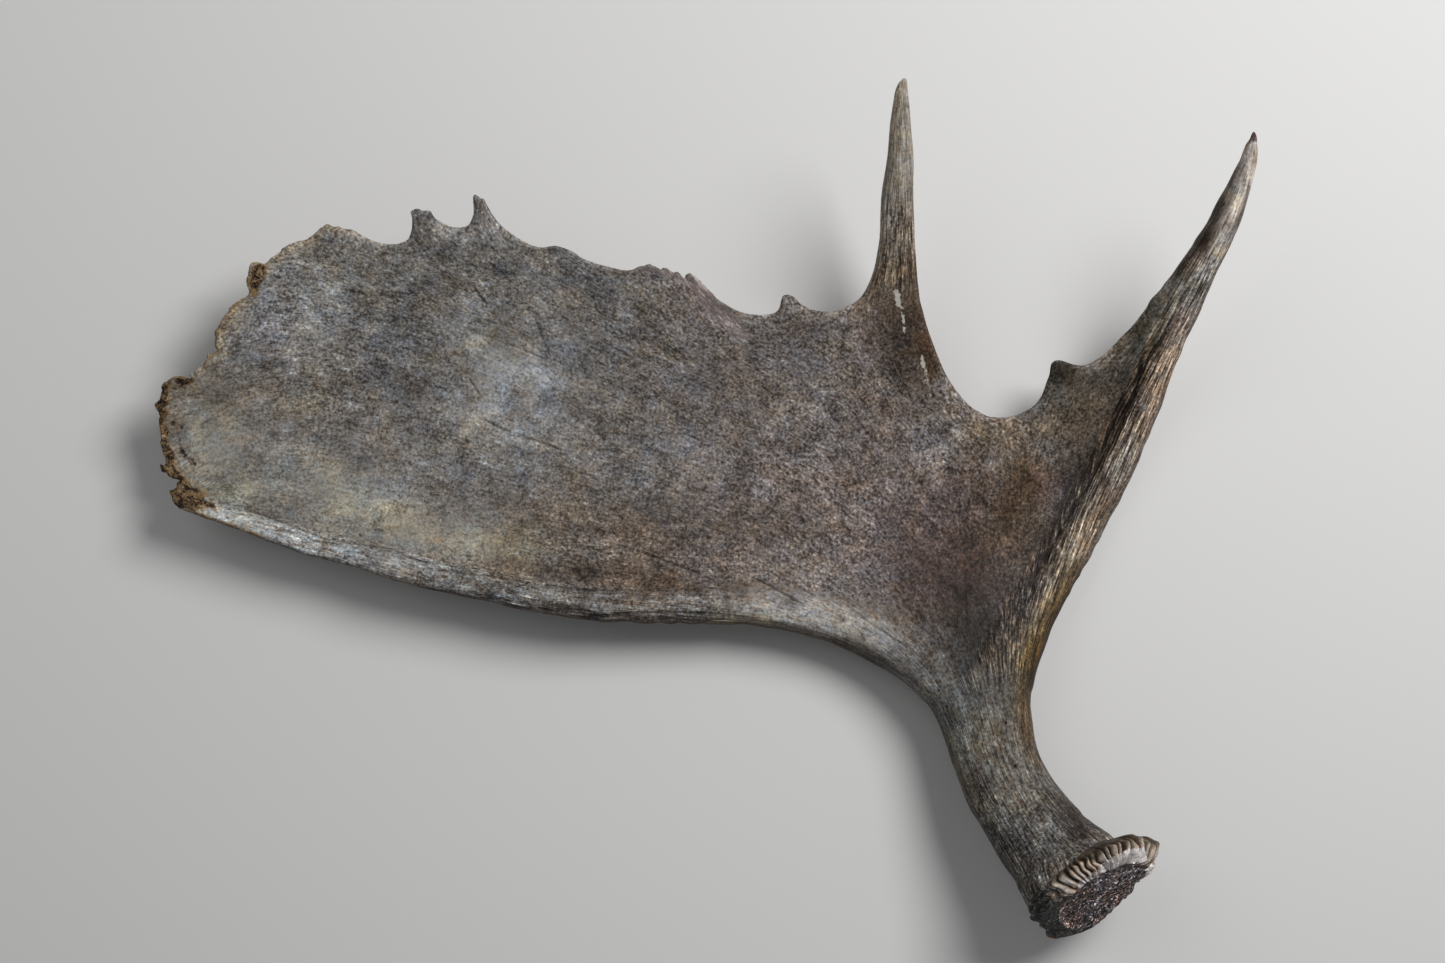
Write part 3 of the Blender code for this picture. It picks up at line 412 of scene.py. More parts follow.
class Sheet:
    """A plan triangulation with the sparse matrix of its Laplacian."""

    def __init__(self, p, tris):
        self.p, self.tris = p, tris
        n = len(p)
        a, b, c = p[tris[:, 0]], p[tris[:, 1]], p[tris[:, 2]]
        area2 = np.abs((b[:, 0] - a[:, 0]) * (c[:, 1] - a[:, 1])
                       - (b[:, 1] - a[:, 1]) * (c[:, 0] - a[:, 0]))
        area2 = np.maximum(area2, 1e-7)
        ii, jj, ww = [], [], []
        for i, j, k in ((0, 1, 2), (1, 2, 0), (2, 0, 1)):
            pi, pj, pk = p[tris[:, i]], p[tris[:, j]], p[tris[:, k]]
            w = 0.5 * ((pi - pk) * (pj - pk)).sum(axis=1) / area2
            ii += [tris[:, i], tris[:, j]]
            jj += [tris[:, j], tris[:, i]]
            ww += [-w, -w]
        self.ii, self.jj, self.ww = (np.concatenate(v) for v in (ii, jj, ww))
        self.mass = np.zeros(n)
        for k in range(3):
            self.mass += np.bincount(tris[:, k], weights=area2 / 6, minlength=n)
        self.area2 = area2
        self.n = n

    def solve(self, kappa, source, known, value, tol=1e-7, start=None):
        """-div grad f + kappa f = source, with f = value where known."""
        diag = -np.bincount(self.ii, weights=self.ww, minlength=self.n) + kappa * self.mass
        free = ~known

        def mul(x):
            return diag * x + np.bincount(self.ii, weights=self.ww * x[self.jj],
                                          minlength=self.n)
        x = np.where(known, value, 0.0 if start is None else start)
        r = source * self.mass - mul(x)
        r[known] = 0
        pre = np.where(free, 1 / np.maximum(diag, 1e-12), 0)
        z = pre * r
        d = z.copy()
        rz = r @ z
        goal = tol * tol * max(rz, 1e-30)
        for _ in range(6000):
            q = mul(d)
            q[known] = 0
            al = rz / (d @ q)
            x += al * d
            r -= al * q
            z = pre * r
            new = r @ z
            if new < goal:
                break
            d = z + (new / rz) * d
            rz = new
        return x

    def slope(self, f):
        """Length of the gradient of f at the points."""
        p, t = self.p, self.tris
        a, b, c = p[t[:, 0]], p[t[:, 1]], p[t[:, 2]]
        fa, fb, fc = f[t[:, 0]], f[t[:, 1]], f[t[:, 2]]
        det = ((b[:, 0] - a[:, 0]) * (c[:, 1] - a[:, 1])
               - (b[:, 1] - a[:, 1]) * (c[:, 0] - a[:, 0]))
        det = np.where(np.abs(det) < 1e-9, 1e-9, det)
        gx = ((fb - fa) * (c[:, 1] - a[:, 1]) - (fc - fa) * (b[:, 1] - a[:, 1])) / det
        gy = ((fc - fa) * (b[:, 0] - a[:, 0]) - (fb - fa) * (c[:, 0] - a[:, 0])) / det
        out = np.zeros((self.n, 2))
        wt = np.zeros(self.n)
        for k in range(3):
            out[:, 0] += np.bincount(t[:, k], weights=gx * self.area2, minlength=self.n)
            out[:, 1] += np.bincount(t[:, k], weights=gy * self.area2, minlength=self.n)
            wt += np.bincount(t[:, k], weights=self.area2, minlength=self.n)
        return np.linalg.norm(out / np.maximum(wt, 1e-9)[:, None], axis=1)

    def blur(self, f, passes):
        cnt = np.bincount(self.ii, minlength=self.n)
        for _ in range(passes):
            f = 0.4 * f + 0.6 * np.bincount(self.ii, weights=f[self.jj],
                                            minlength=self.n) / cnt
        return f


def soft_max(a, b, k):
    return 0.5 * (a + b + np.sqrt((a - b)**2 + k * k) - k)


def smooth(lo, hi, x):
    t = np.clip((x - lo) / (hi - lo), 0, 1)
    return t * t * (3 - 2 * t)


# --------------------------------------------------------------------- noise
def noise(p, seed):
    """Gradient noise, about -1 to 1, at points (n, 3)."""
    f = np.floor(p)
    i = f.astype(np.int64)
    d = p - f
    w = d * d * d * (d * (d * 6 - 15) + 10)
    out = np.zeros(len(p))
    for cx in (0, 1):
        for cy in (0, 1):
            for cz in (0, 1):
                h = ((i[:, 0] + cx) * 73856093 ^ (i[:, 1] + cy) * 19349663
                     ^ (i[:, 2] + cz) * 83492791 ^ (seed * 40503 + 977)) & 0xFFFFFFFF
                h = ((h ^ (h >> 15)) * 2246822519) & 0xFFFFFFFF
                h = ((h ^ (h >> 13)) * 3266489917) & 0xFFFFFFFF
                h ^= h >> 16
                dot = (((h & 1023) / 511.5 - 1) * (d[:, 0] - cx)
                       + (((h >> 10) & 1023) / 511.5 - 1) * (d[:, 1] - cy)
                       + (((h >> 20) & 1023) / 511.5 - 1) * (d[:, 2] - cz))
                out += ((w[:, 0] if cx else 1 - w[:, 0]) * (w[:, 1] if cy else 1 - w[:, 1])
                        * (w[:, 2] if cz else 1 - w[:, 2]) * dot)
    return out * 1.5


def fractal(p, seed, octaves=3, gain=0.5):
    out, amp = 0.0, 1.0
    for k in range(octaves):
        out = out + amp * noise(p * 2.0**k + 17.3 * k, seed + k)
        amp *= gain
    return out


# ------------------------------------------------------------ plan triangles
def make_rim():
    """Fine outline, its inward normals and how far the round edge reaches."""
    dense = smooth_closed(plan(OUTLINE))
    uv = np.stack([dense[:, 0] / PX + MID_U, MID_V - dense[:, 1] / PX], axis=1)
    n = inward(dense)
    # the broken and the frayed edges are uneven in the small
    crumb = smooth(262, 225, uv[:, 0]) + 0.5 * smooth(420, 262, uv[:, 0]) * (uv[:, 1] < 300)
    crumb = np.maximum(crumb * (uv[:, 1] < 512),
                       0.75 * smooth(632, 645, uv[:, 0]) * smooth(740, 700, uv[:, 0])
                       * (uv[:, 1] < 330))
    rough = 0.16 + 0.9 * crumb
    q = np.stack([dense[:, 0], dense[:, 1], 0 * dense[:, 0]], axis=1)
    push = (0.55 * noise(q / 2.6, 5) + 0.35 * noise(q / 1.3, 6)) * rough
    seen = smooth(0, 18, np.hypot(uv[:, 0] - 1100, uv[:, 1] - 930) - 105)
    dense = dense - n * (push * seen)[:, None]
    room = inscribed(dense, inward(dense), dense[::3])
    step = np.clip(0.30 * blur_closed(np.minimum(room, 60), 12), 0.7, 1.75)
    step = np.where(crumb > 0.3, np.minimum(step, 1.05), step)
    step = blur_closed(step, 30)
    rim, room = resample_closed(dense, step, blur_closed(room, 4))
    n = inward(rim)
    n = blur_closed(n, 2)
    n /= np.linalg.norm(n, axis=1)[:, None]
    halves = half_field()(rim[:, 0], rim[:, 1])
    wide = np.maximum.reduce([rim_profile(t, rim[:, 0] + 6 * n[:, 0],
                                          rim[:, 1] + 6 * n[:, 1],
                                          np.full(len(rim), 9.0))
                              for t in (RIM_LOWER, RIM_BROW)])
    depth = np.maximum(np.minimum(1.5 * halves, 26.0), wide)
    depth = np.minimum(np.maximum(depth, 6.5), 0.66 * room)
    depth = np.minimum(depth, blur_closed(depth, 6))
    for _ in range(140):
        gap = np.linalg.norm(rim - np.roll(rim, 1, axis=0), axis=1)
        depth = np.minimum(depth, np.roll(depth, 1) + 0.7 * gap)
        gap = np.linalg.norm(rim - np.roll(rim, -1, axis=0), axis=1)
        depth = np.minimum(depth, np.roll(depth, -1) + 0.7 * gap)
    return rim, n, np.maximum(depth, 0.5)


def fine_zone(p):
    """True where the bone is ribbed or broken and is drawn with small cells."""
    x, y = p[:, 0], p[:, 1]
    u, v = x / PX + MID_U, MID_V - y / PX
    off, _, r = along_line(RIM_BROW, x, y)
    out = off < 1.35 * r * PX
    off, _, r = along_line(RIM_LOWER, x, y)
    out |= off < 1.15 * r * PX
    out |= (v > 655) & (u > 880)
    out |= (v < 330) & (u > 862) & (u < 960)
    out |= (u > 1120) & (v < 340)
    out |= u < 205
    return out


def grid(lo, hi, cell):
    rows = int((hi[1] - lo[1]) / (cell * 0.866)) + 1
    cols = int((hi[0] - lo[0]) / cell) + 2
    jj, ii = np.meshgrid(np.arange(rows), np.arange(cols), indexing="ij")
    return np.stack([lo[0] + cell * (ii + 0.5 * (jj % 2)),
                     lo[1] + cell * 0.866 * (jj + 0.4)], axis=-1).reshape(-1, 2)


def net(rim, n, depth, cells):
    rings = [rim]
    for angle in RING_ANGLES:
        rings.append(rim + n * (depth * (1 - math.cos(math.radians(angle))))[:, None])
    last = rings[-1]
    m = len(rim)
    lo, hi = last.min(axis=0), last.max(axis=0)
    sets = []
    for cell, fine in zip(cells, (True, False)):
        pts = grid(lo, hi, cell)
        pts = pts[fine_zone(pts) == fine]
        pts = pts[inside(pts, last)]
        sets.append(pts[nearest(pts, last) > 0.6 * cell])
    tree = kdtree.KDTree(len(sets[0]))
    for i, c in enumerate(sets[0]):
        tree.insert((c[0], c[1], 0.0), i)
    tree.balance()
    apart = np.array([tree.find((c[0], c[1], 0.0))[2] for c in sets[1]])
    pts = np.vstack([sets[0], sets[1][apart > 0.62 * cells[1]]])
    core = np.vstack([last, pts])
    out = delaunay_2d_cdt([Vector(c) for c in core], [(i, (i + 1) % m) for i in range(m)],
                          [], 1, 1e-6, True)
    ids = np.array([o[0] if o else -1 for o in out[3]])
    if len(out[0]) != len(core) or ids.min() < 0:
        # a crossing of the last ring makes new corners; they are kept as they are
        extra = [i for i in range(len(out[3])) if not out[3][i]]
        ids[extra] = len(core) + np.arange(len(extra))
        core = np.vstack([core] + [np.array([[out[0][i].x, out[0][i].y]]) for i in extra])
    p = np.vstack(rings[:-1] + [core])
    base = m * (len(rings) - 1)
    tris = ids[np.array([list(f) for f in out[2]])]
    kept = inside(core[tris].mean(axis=1), last)
    tris = base + tris[kept]
    quads = []
    i = np.arange(m)
    j = (i + 1) % m
    for k in range(len(rings) - 1):
        a, b, c, d = k * m + i, k * m + j, (k + 1) * m + j, (k + 1) * m + i
        one = (np.linalg.norm(p[a] - p[c], axis=1) < np.linalg.norm(p[b] - p[d], axis=1))
        quads.append(np.where(one[:, None], np.stack([a, b, c], 1), np.stack([a, b, d], 1)))
        quads.append(np.where(one[:, None], np.stack([a, c, d], 1), np.stack([b, c, d], 1)))
    tris = np.vstack([tris] + quads)
    a, b, c = p[tris[:, 0]], p[tris[:, 1]], p[tris[:, 2]]
    turn = ((b[:, 0] - a[:, 0]) * (c[:, 1] - a[:, 1])
            - (b[:, 1] - a[:, 1]) * (c[:, 0] - a[:, 0]))
    tris[turn < 0] = tris[turn < 0][:, ::-1]
    return p, tris


def flow_value(rim):
    """Share of the fibres at each point of the outline."""
    t = np.asarray(FLOW, float)
    q = plan(t[:, :2])
    at = np.array([((rim - c)**2).sum(axis=1).argmin() for c in q])
    val = t[:, 2]
    m = len(rim)
    start = at[0]
    order = (np.arange(m) - start) % m
    knots = (at - start) % m
    keep = np.concatenate([[True], np.diff(knots) > 0])
    knots, val = knots[keep], val[keep]
    return np.interp(order, np.append(knots, m), np.append(val, 0.0))


def half_surface(rim, n, depth, cell, side):
    """One face of the bone: plan points, triangles and per-point values."""
    p, tris = net(rim, n, depth, cell)
    m = len(rim)
    sheet = Sheet(p, tris)
    edge = np.arange(len(p)) < m
    half = half_field()(p[:, 0], p[:, 1])
    h = np.sqrt(np.maximum(sheet.solve(2.0 / half**2, 2.0, edge, 0.0, 1e-6), 0))
    d = nearest(p, rim)
    d[:m] = 0
    brow = rim_profile(RIM_BROW, p[:, 0], p[:, 1], d)
    rim_h = np.maximum(rim_profile(RIM_LOWER, p[:, 0], p[:, 1], d), brow)
    mid = thin_plate(MIDDLE)(p[:, 0], p[:, 1])
    scale = 1 - mid / EYE
    psi = sheet.solve(0.0, 0.0, edge, np.concatenate([flow_value(rim), np.zeros(len(p) - m)]),
                      1e-6, start=np.full(len(p), 0.5))
    slope = sheet.blur(sheet.slope(psi), 12)
    lod = sheet.blur(-np.log2(np.clip(slope, 1 / 900.0, 1 / 14.0)), 20)
    if side > 0:
        z = mid + scale * soft_max(h, rim_h, np.minimum(1.5, 0.4 * d))
    else:
        z = mid - scale * soft_max(h, 0.9 * rim_h, np.minimum(4.0, 0.4 * d))
    z[:m] = mid[:m]
    return {"p": p, "tris": tris, "z": z - SINK, "mid": mid - SINK, "psi": psi, "lod": lod,
            "d": d, "rim": rim_h, "half": h, "side": np.full(len(p), float(side))}


def join_faces(top, low, m):
    """Both faces over one outline, as a closed surface."""
    shift = len(top["p"]) - m
    lt = low["tris"].copy()
    lt = np.where(lt >= m, lt + shift, lt)[:, ::-1]
    out = {"tris": np.vstack([top["tris"], lt])}
    for k in top:
        if k != "tris":
            out[k] = np.concatenate([top[k], low[k][m:]])
    out["side"][:m] = 0
    return out


def normals(v, tris):
    a, b, c = v[tris[:, 0]], v[tris[:, 1]], v[tris[:, 2]]
    f = np.cross(b - a, c - a)
    n = np.zeros_like(v)
    for k in range(3):
        for ax in range(3):
            n[:, ax] += np.bincount(tris[:, k], weights=f[:, ax], minlength=len(v))
    return n / np.maximum(np.linalg.norm(n, axis=1), 1e-12)[:, None]


def streaks(s, cycles, stretch, seed):
    """Noise that is long along the fibres: cycles per mm across them."""
    level = s["lod"] + math.log2(cycles)
    k = np.floor(level)
    f = level - k
    f = f * f * (3 - 2 * f)
    out = 0.0
    for add, wt in ((0, 1 - f), (1, f)):
        q = np.stack([s["psi"] * 2.0**(k + add), s["zr"] * cycles * 0.8,
                      s["t"] * cycles / stretch + 3.1 * (k + add)], axis=1)
        out = out + wt * noise(q, seed)
    return out / np.sqrt(f * f + (1 - f)**2)


def spot(s, u, v, ru, rv=None, turn=0.0):
    """Soft oval mask round a plan point; radii in plan units."""
    rv = ru if rv is None else rv
    c, w = math.cos(math.radians(turn)), math.sin(math.radians(turn))
    du, dv = s["u"] - u, s["v"] - v
    a, b = (du * c + dv * w) / ru, (-du * w + dv * c) / rv
    return np.exp(-(a * a + b * b))


def line(s, points, width, soft_ends=True):
    """Mask along a polyline of plan points; width in plan units."""
    d, way, _ = along_line(points, s["x"], s["y"])
    m = np.exp(-(d / (width * PX))**2)
    if soft_ends:
        m = m * smooth(0, 0.15, way) * smooth(1, 0.85, way)
    return m


# -------------------------------------------------------------------- relief
CREASES = [   # fine dark lines in the dish: points, strength
    ([(480, 417), (500, 428), (535, 440), (568, 452)], 0.8),
    ([(468, 377), (474, 386), (481, 397)], 0.8),
    ([(473, 286), (479, 295), (487, 306)], 1.0),
    ([(534, 314), (541, 336), (551, 360)], 0.6),
    ([(506, 343), (528, 352), (549, 361)], 0.6),
    ([(636, 548), (655, 557), (688, 569), (718, 583)], 1.0),
    ([(236, 505), (271, 517), (322, 538), (389, 549), (430, 565)], 0.6),
    ([(440, 568), (500, 578), (560, 588), (620, 590), (680, 590)], 0.45),
    ([(742, 572), (762, 582), (786, 594), (806, 606)], 0.9),
    ([(756, 566), (790, 582), (822, 600)], 0.6),
    ([(848, 606), (872, 624), (908, 648)], 0.7),
    ([(180, 446), (183, 452), (187, 458), (194, 467)], 1.0),
    ([(184, 460), (187, 457), (192, 461), (196, 467)], 1.0),
    ([(1178, 330), (1152, 386), (1126, 440), (1096, 490), (1068, 540), (1044, 584),
      (1026, 622)], 0.8),
    ([(1166, 330), (1141, 384), (1116, 434), (1084, 490), (1060, 530), (1036, 574)], 0.5),
    ([(570, 618), (640, 612), (700, 613), (760, 618)], 0.8),
    ([(1056, 566), (1036, 604), (1020, 640), (1008, 676)], 0.6),
    ([(1034, 590), (1018, 622), (1002, 656)], 0.5),
    ([(1003, 604), (996, 632), (990, 664)], 0.45),
    ([(984, 616), (979, 642), (976, 668)], 0.35),
    ([(1024, 586), (1010, 612), (1002, 636)], 0.4),
]
BROW_VALLEY = [(1158, 330), (1137, 382), (1113, 434), (1082, 488), (1056, 533), (1034, 578),
               (1018, 612), (1004, 652)]
PITS = [(939, 690, 2.6), (946, 707, 2.0), (961, 745, 1.9), (964, 752, 1.5), (1015, 766, 1.6),
        (1083, 836, 3.4), (843, 620, 1.6), (1006, 723, 1.4), (1040, 742, 1.3), (975, 716, 1.2),
        (182, 428, 1.9), (173, 424, 2.4), (178, 382, 3.2), (1012, 832, 1.4), (905, 655, 1.4),
        (182, 452, 2.4), (185, 456, 1.6), (193, 460, 1.8), (195, 464, 1.4), (180, 445, 1.5),
        (1050, 804, 1.2), (988, 782, 1.2), (221, 346, 1.0), (188, 500, 2.2), (952, 722, 1.1),
        (1030, 786, 1.4), (1001, 806, 1.1), (968, 690, 1.2)]


SCRAPES = [([(172, 463), (177, 460), (181, 459)], 0.9), ([(163, 456), (167, 457)], 0.9),
           ([(888, 216), (889, 222), (889, 227)], 3.4), ([(896, 292), (899, 304)], 5.5),
           ([(900, 303), (903, 317), (905, 333)], 2.2), ([(921, 357), (926, 374)], 3.0),
           ([(926, 374), (931, 395)], 1.6)]


def crease_field(s):
    """Signed distance in mm to the nearest crease, and its strength there."""
    x, y = s["x"], s["y"]
    best, signed, power = np.full(len(x), 99.0), np.full(len(x), 99.0), np.zeros(len(x))
    for pts, strength in CREASES:
        p = plan(pts)
        for k in range(len(p) - 1):
            a, e = p[k], p[k + 1] - p[k]
            t = np.clip(((x - a[0]) * e[0] + (y - a[1]) * e[1]) / (e @ e), 0, 1)
            gx, gy = x - a[0] - t * e[0], y - a[1] - t * e[1]
            d = np.hypot(gx, gy)
            way = (k + t) / (len(p) - 1)
            use = d < best
            best = np.where(use, d, best)
            signed = np.where(use, d * np.sign(e[0] * gy - e[1] * gx), signed)
            ends = smooth(0, 0.14, way) * smooth(1, 0.86, way)
            power = np.where(use, strength * ends, power)
    return signed, power * smooth(4.0, 2.4, best) * (s["side"] > 0)


def relief(s):
    """Height of the small shapes over the smooth bone, and masks for colour."""
    q = np.stack([s["x"], s["y"], s["z"] * 1.3], axis=1)
    rod, side = s["rod"], s["side"]
    up = smooth(-0.4, 0.4, side)
    flat = 1 - rod
    u, v = s["u"], s["v"]
    fine = streaks(s, 1 / 2.7, 9, 31)
    mid = streaks(s, 1 / 5.2, 9, 32)
    wide = streaks(s, 1 / 12.0, 8, 33)
    ribs = 1 - 2.2 * np.abs(streaks(s, 1 / 7.5, 16, 34))
    brow = s["brow"]
    out = flat * (0.85 * noise(q / 66, 21) + 0.38 * noise(q / 24, 22) + 0.16 * noise(q / 9, 23))
    out += 0.13 * noise(q / 4.4, 24) + (0.10 + 0.10 * flat) * noise(q / 2.6, 25)
    out += fine * (0.12 + 0.17 * rod) + mid * (0.10 + 0.30 * rod) + wide * (0.15 + 0.40 * rod)
    out += brow * (0.12 * ribs + 0.32 * fine - 0.22 * mid - 0.42 * wide)
    tine = s["tine"]
    out += tine * (0.12 * ribs - 0.30 * wide - 0.10 * mid)
    beam = s["beam"]
    out += beam * (0.30 * ribs + 0.35 * noise(q / 16, 26))
    # warts and lumps along the crests of the rims
    lump = smooth(0.25, 0.75, noise(q / 6.0, 27)) * s["crest"]
    out += 0.55 * lump
    # vessel furrows on the back, which the photo does not show
    back = smooth(0.4, -0.4, side) * smooth(-1.1, -0.9, side)
    furrow = smooth(0.82, 1.0, 1 - np.abs(streaks(s, 1 / 26.0, 12, 35)))
    furrow = np.maximum(furrow, 0.7 * smooth(0.86, 1.0, 1 - np.abs(streaks(s, 1 / 15.0, 10, 36))))
    low = smooth(0.2, -0.6, side)
    out -= 1.25 * furrow * low
    signed, power = crease_field(s)
    cut = power * np.exp(-(signed / 1.5)**2)
    out -= cut * 0.45
    valley = line(s, BROW_VALLEY, 9.0) * up
    out -= 1.5 * valley
    pit, hole = 0.0 * out, np.full(len(u), 3.0)
    for pu, pv, pr in PITS:
        far = np.hypot(u - pu, v - pv) * PX
        pit = np.maximum(pit, np.exp(-(far / (pr * 1.1 * PX))**2) * up)
        hole = np.minimum(hole, np.where(side > -0.5, far - pr * PX, 3.0))
    out -= 0.8 * pit
    scrape = np.full(len(u), 2.0)
    for pts, width in SCRAPES:
        far = along_line(pts, s["x"], s["y"])[0] - 0.5 * width * PX
        scrape = np.minimum(scrape, np.where(side > -0.5, far, 2.0))
    marks = {"crease": signed, "scrape": scrape, "creased": power, "hole": hole, "furrow": furrow * low,
             "ridge": np.clip(0.5 + 0.35 * fine * (0.5 + rod) + 0.35 * mid
                              + 0.25 * brow * (ribs - 0.2), 0, 1)}
    return out, marks


# besides stains and wear, this paints light and shade into the colour
def stains_and_painted_light(s):
    """Brightness in stops, warmth and greenness of the bone, placed one by one."""
    q = np.stack([s["x"], s["y"], s["z"]], axis=1)
    up = smooth(-0.4, 0.4, s["side"])
    u, v = s["u"], s["v"]
    lum = 0.0 * u
    warm = 0.28 + 0.0 * u
    olive = 0.0 * u

    def add(mask, dl, dw=0.0, do=0.0):
        nonlocal lum, warm, olive
        lum = lum + mask * dl
        warm = warm + mask * dw
        olive = olive + mask * do

    edge_noise = noise(q / 18, 41)
    mottle = noise(q / 30, 42) + 0.6 * noise(q / 13, 43)
    add(mottle, 0.16)
    add(noise(q / 34, 44) + 0.5 * noise(q / 15, 45), 0.0, 0.16, 0.015)

    def blot(*a, **k):
        return spot(s, *a, **k) * np.clip(1 + 0.55 * mottle + 0.4 * edge_noise, 0, 2)

    # the dish, from its outer end to the fork
    add(blot(215, 445, 42, 62), 0.55, 0.08, 0.03)
    add(blot(255, 480, 40, 26), 0.35, 0.05, 0.04)
    add(blot(312, 400, 20, 18), 0.45, 0.20, 0.04)
    add(blot(322, 462, 26, 16, 20), 0.35, 0.16, 0.04)
    add(spot(s, 340, 310, 90, 62, -20), 0.50, 0.0)
    add(spot(s, 470, 280, 90, 40, 10), 0.40, 0.0)
    add(spot(s, 420, 380, 70, 50), 0.25, 0.0)
    add(blot(355, 285, 44, 30), -0.12, -0.10)
    add(blot(400, 350, 30, 44), -0.10, -0.16, -0.01)
    add(blot(475, 345, 18, 16), 0.60, 0.05, 0.03)
    add(blot(480, 300, 20, 38, 20), 0.30, -0.16)
    add(blot(518, 388, 42, 58, 35), 1.0, -0.28, -0.01)
    add(spot(s, 390, 380, 44, 36), -0.40, 0.0)
    add(spot(s, 600, 300, 90, 30, 8), 0.25, 0.0)
    add(smooth(560, 760, u) * smooth(1060, 1000, u) * smooth(640, 560, v), 0.0, 0.06, -0.035)
    add(spot(s, 600, 520, 90, 26, 10), -0.55, 0.26, 0.0)
    add(spot(s, 515, 540, 34, 20, 10), -0.45, 0.26, 0.03)
    add(spot(s, 255, 480, 44, 28), -0.35, 0.0)
    add(spot(s, 400, 530, 60, 20, 12), -0.25, 0.0)
    add(blot(505, 440, 46, 22, 20), 0.35, -0.16)
    add(line(s, [(300, 500), (370, 520), (440, 536), (510, 546), (560, 552)], 24), 0.55, 0.08,
        0.06)
    add(blot(430, 528, 56, 18, 14), 0.35, 0.06, 0.04)
    add(blot(350, 490, 60, 24, 12), 0.40, 0.0, 0.03)
    add(line(s, [(470, 560), (540, 571), (600, 577), (680, 582), (760, 590)], 13), -1.05,
        0.32, 0.0)
    add(blot(640, 548, 60, 16, 12), -0.30, 0.22)
    add(blot(702, 296, 20, 16, 45), 0.45, 0.16, -0.04)
    add(blot(640, 290, 46, 18), 0.20, 0.02)
    add(blot(760, 520, 90, 60), -0.45, 0.16)
    add(blot(860, 420, 80, 90), -0.20, 0.08)
    add(blot(900, 350, 34, 60, -10), -0.10, 0.16)
    add(s["stained"], -0.10, 0.34, 0.05)
    # darker in the small hollow near the outer end: brown stain and painted shade
    add(spot(s, 183, 437, 6, 15, -20), -0.45, 0.12)
    add(spot(s, 176, 425, 4, 6), -0.8, 0.35)
    # fork: darker and browner where the dish is deepest, brown stain and painted shadow of the rims
    add(spot(s, 940, 570, 90, 66, 40), -1.15, 0.20, -0.07)
    add(blot(1000, 505, 48, 76, 20), -1.05, 0.50, -0.01)
    add(blot(1012, 500, 30, 50, 20), -0.45, 0.40, 0.0)
    add(spot(s, 955, 585, 50, 40, 40), -0.45, 0.10, -0.02)
    add(spot(s, 982, 640, 30, 44), -1.15, -0.02, 0.0)
    add(blot(965, 470, 30, 50, 10), -0.35, 0.12)
    add(spot(s, 515, 380, 40, 46), 0.20, 0.0)
    add(blot(360, 470, 40, 30), 0.0, 0.0)
    add(spot(s, 430, 528, 62, 18, 12), -0.25, 0.0, -0.05)
    add(spot(s, 500, 470, 60, 34), -0.28, 0.0)
    add(spot(s, 300, 300, 60, 44), 0.22, -0.05)
    add(spot(s, 700, 530, 60, 30), -0.20, 0.02)
    add(line(s, [(560, 560), (640, 572), (720, 582), (780, 594)], 16), -0.40, 0.18, 0.0)
    add(spot(s, 955, 450, 30, 34), 0.30, -0.14)
    add(spot(s, 860, 500, 40, 34), 0.22, 0.0)
    add(blot(1010, 510, 28, 44, 20), -0.40, 0.18, 0.05)
    add(spot(s, 975, 630, 44, 60, 20), -0.60, 0.04, 0.02)
    # painted shadow along the inner foot of the brow rim
    add(line(s, [(1086, 560), (1066, 606), (1048, 650), (1034, 690)], 7) * up, -0.6, 0.1)
    add(spot(s, 600, 430, 110, 60), -0.22, 0.0)
    add(spot(s, 400, 385, 44, 36), -0.20, 0.0)
    add(spot(s, 740, 520, 80, 36), -0.18, 0.03)
    add(spot(s, 600, 528, 90, 22, 8), -0.25, 0.10)
    add(spot(s, 515, 380, 34, 44), 0.15, -0.06)
    add(spot(s, 300, 300, 70, 50), 0.20, -0.06)
    add(spot(s, 660, 330, 60, 40), 0.15, 0.0)
    add(spot(s, 520, 545, 50, 20, 10), 0.0, 0.12, 0.02)
    add(spot(s, 610, 575, 90, 12, 5), -0.10, 0.10)
    add(spot(s, 740, 585, 50, 14, 10), -0.20, -0.14)
    add(blot(1010, 508, 30, 46, 20), -0.30, 0.12, 0.03)
    add(spot(s, 950, 575, 60, 50, 40), -0.22, 0.10, 0.01)
    add(spot(s, 980, 640, 34, 44, 20), -0.50, 0.0, 0.02)
    # more painted shadow along the inner foot of the brow rim, browner in places
    add(line(s, [(1066, 600), (1048, 645), (1036, 690)], 12) * up, -0.60, 0.28, 0.05)
    add(line(s, [(1082, 560), (1062, 600), (1048, 630)], 10) * up, -0.25, 0.18, 0.03)
    add(spot(s, 1084, 478, 14, 24, 25) * up, -0.40, 0.08)
    add(spot(s, 1095, 415, 34, 46, 30) * up, -0.45, 0.15, 0.01)
    add(spot(s, 1148, 322, 24, 34, 35) * up, -0.35, 0.05, 0.05)
    add(s["brow"] * smooth(500, 420, v) * smooth(330, 360, v), 0.0, 0.12, -0.02)
    # bright fibres at the crotch
    add(blot(1000, 430, 46, 10), 0.25, 0.22, 0.03)
    add(blot(975, 440, 40, 26, 30), 0.10, 0.12, 0.02)
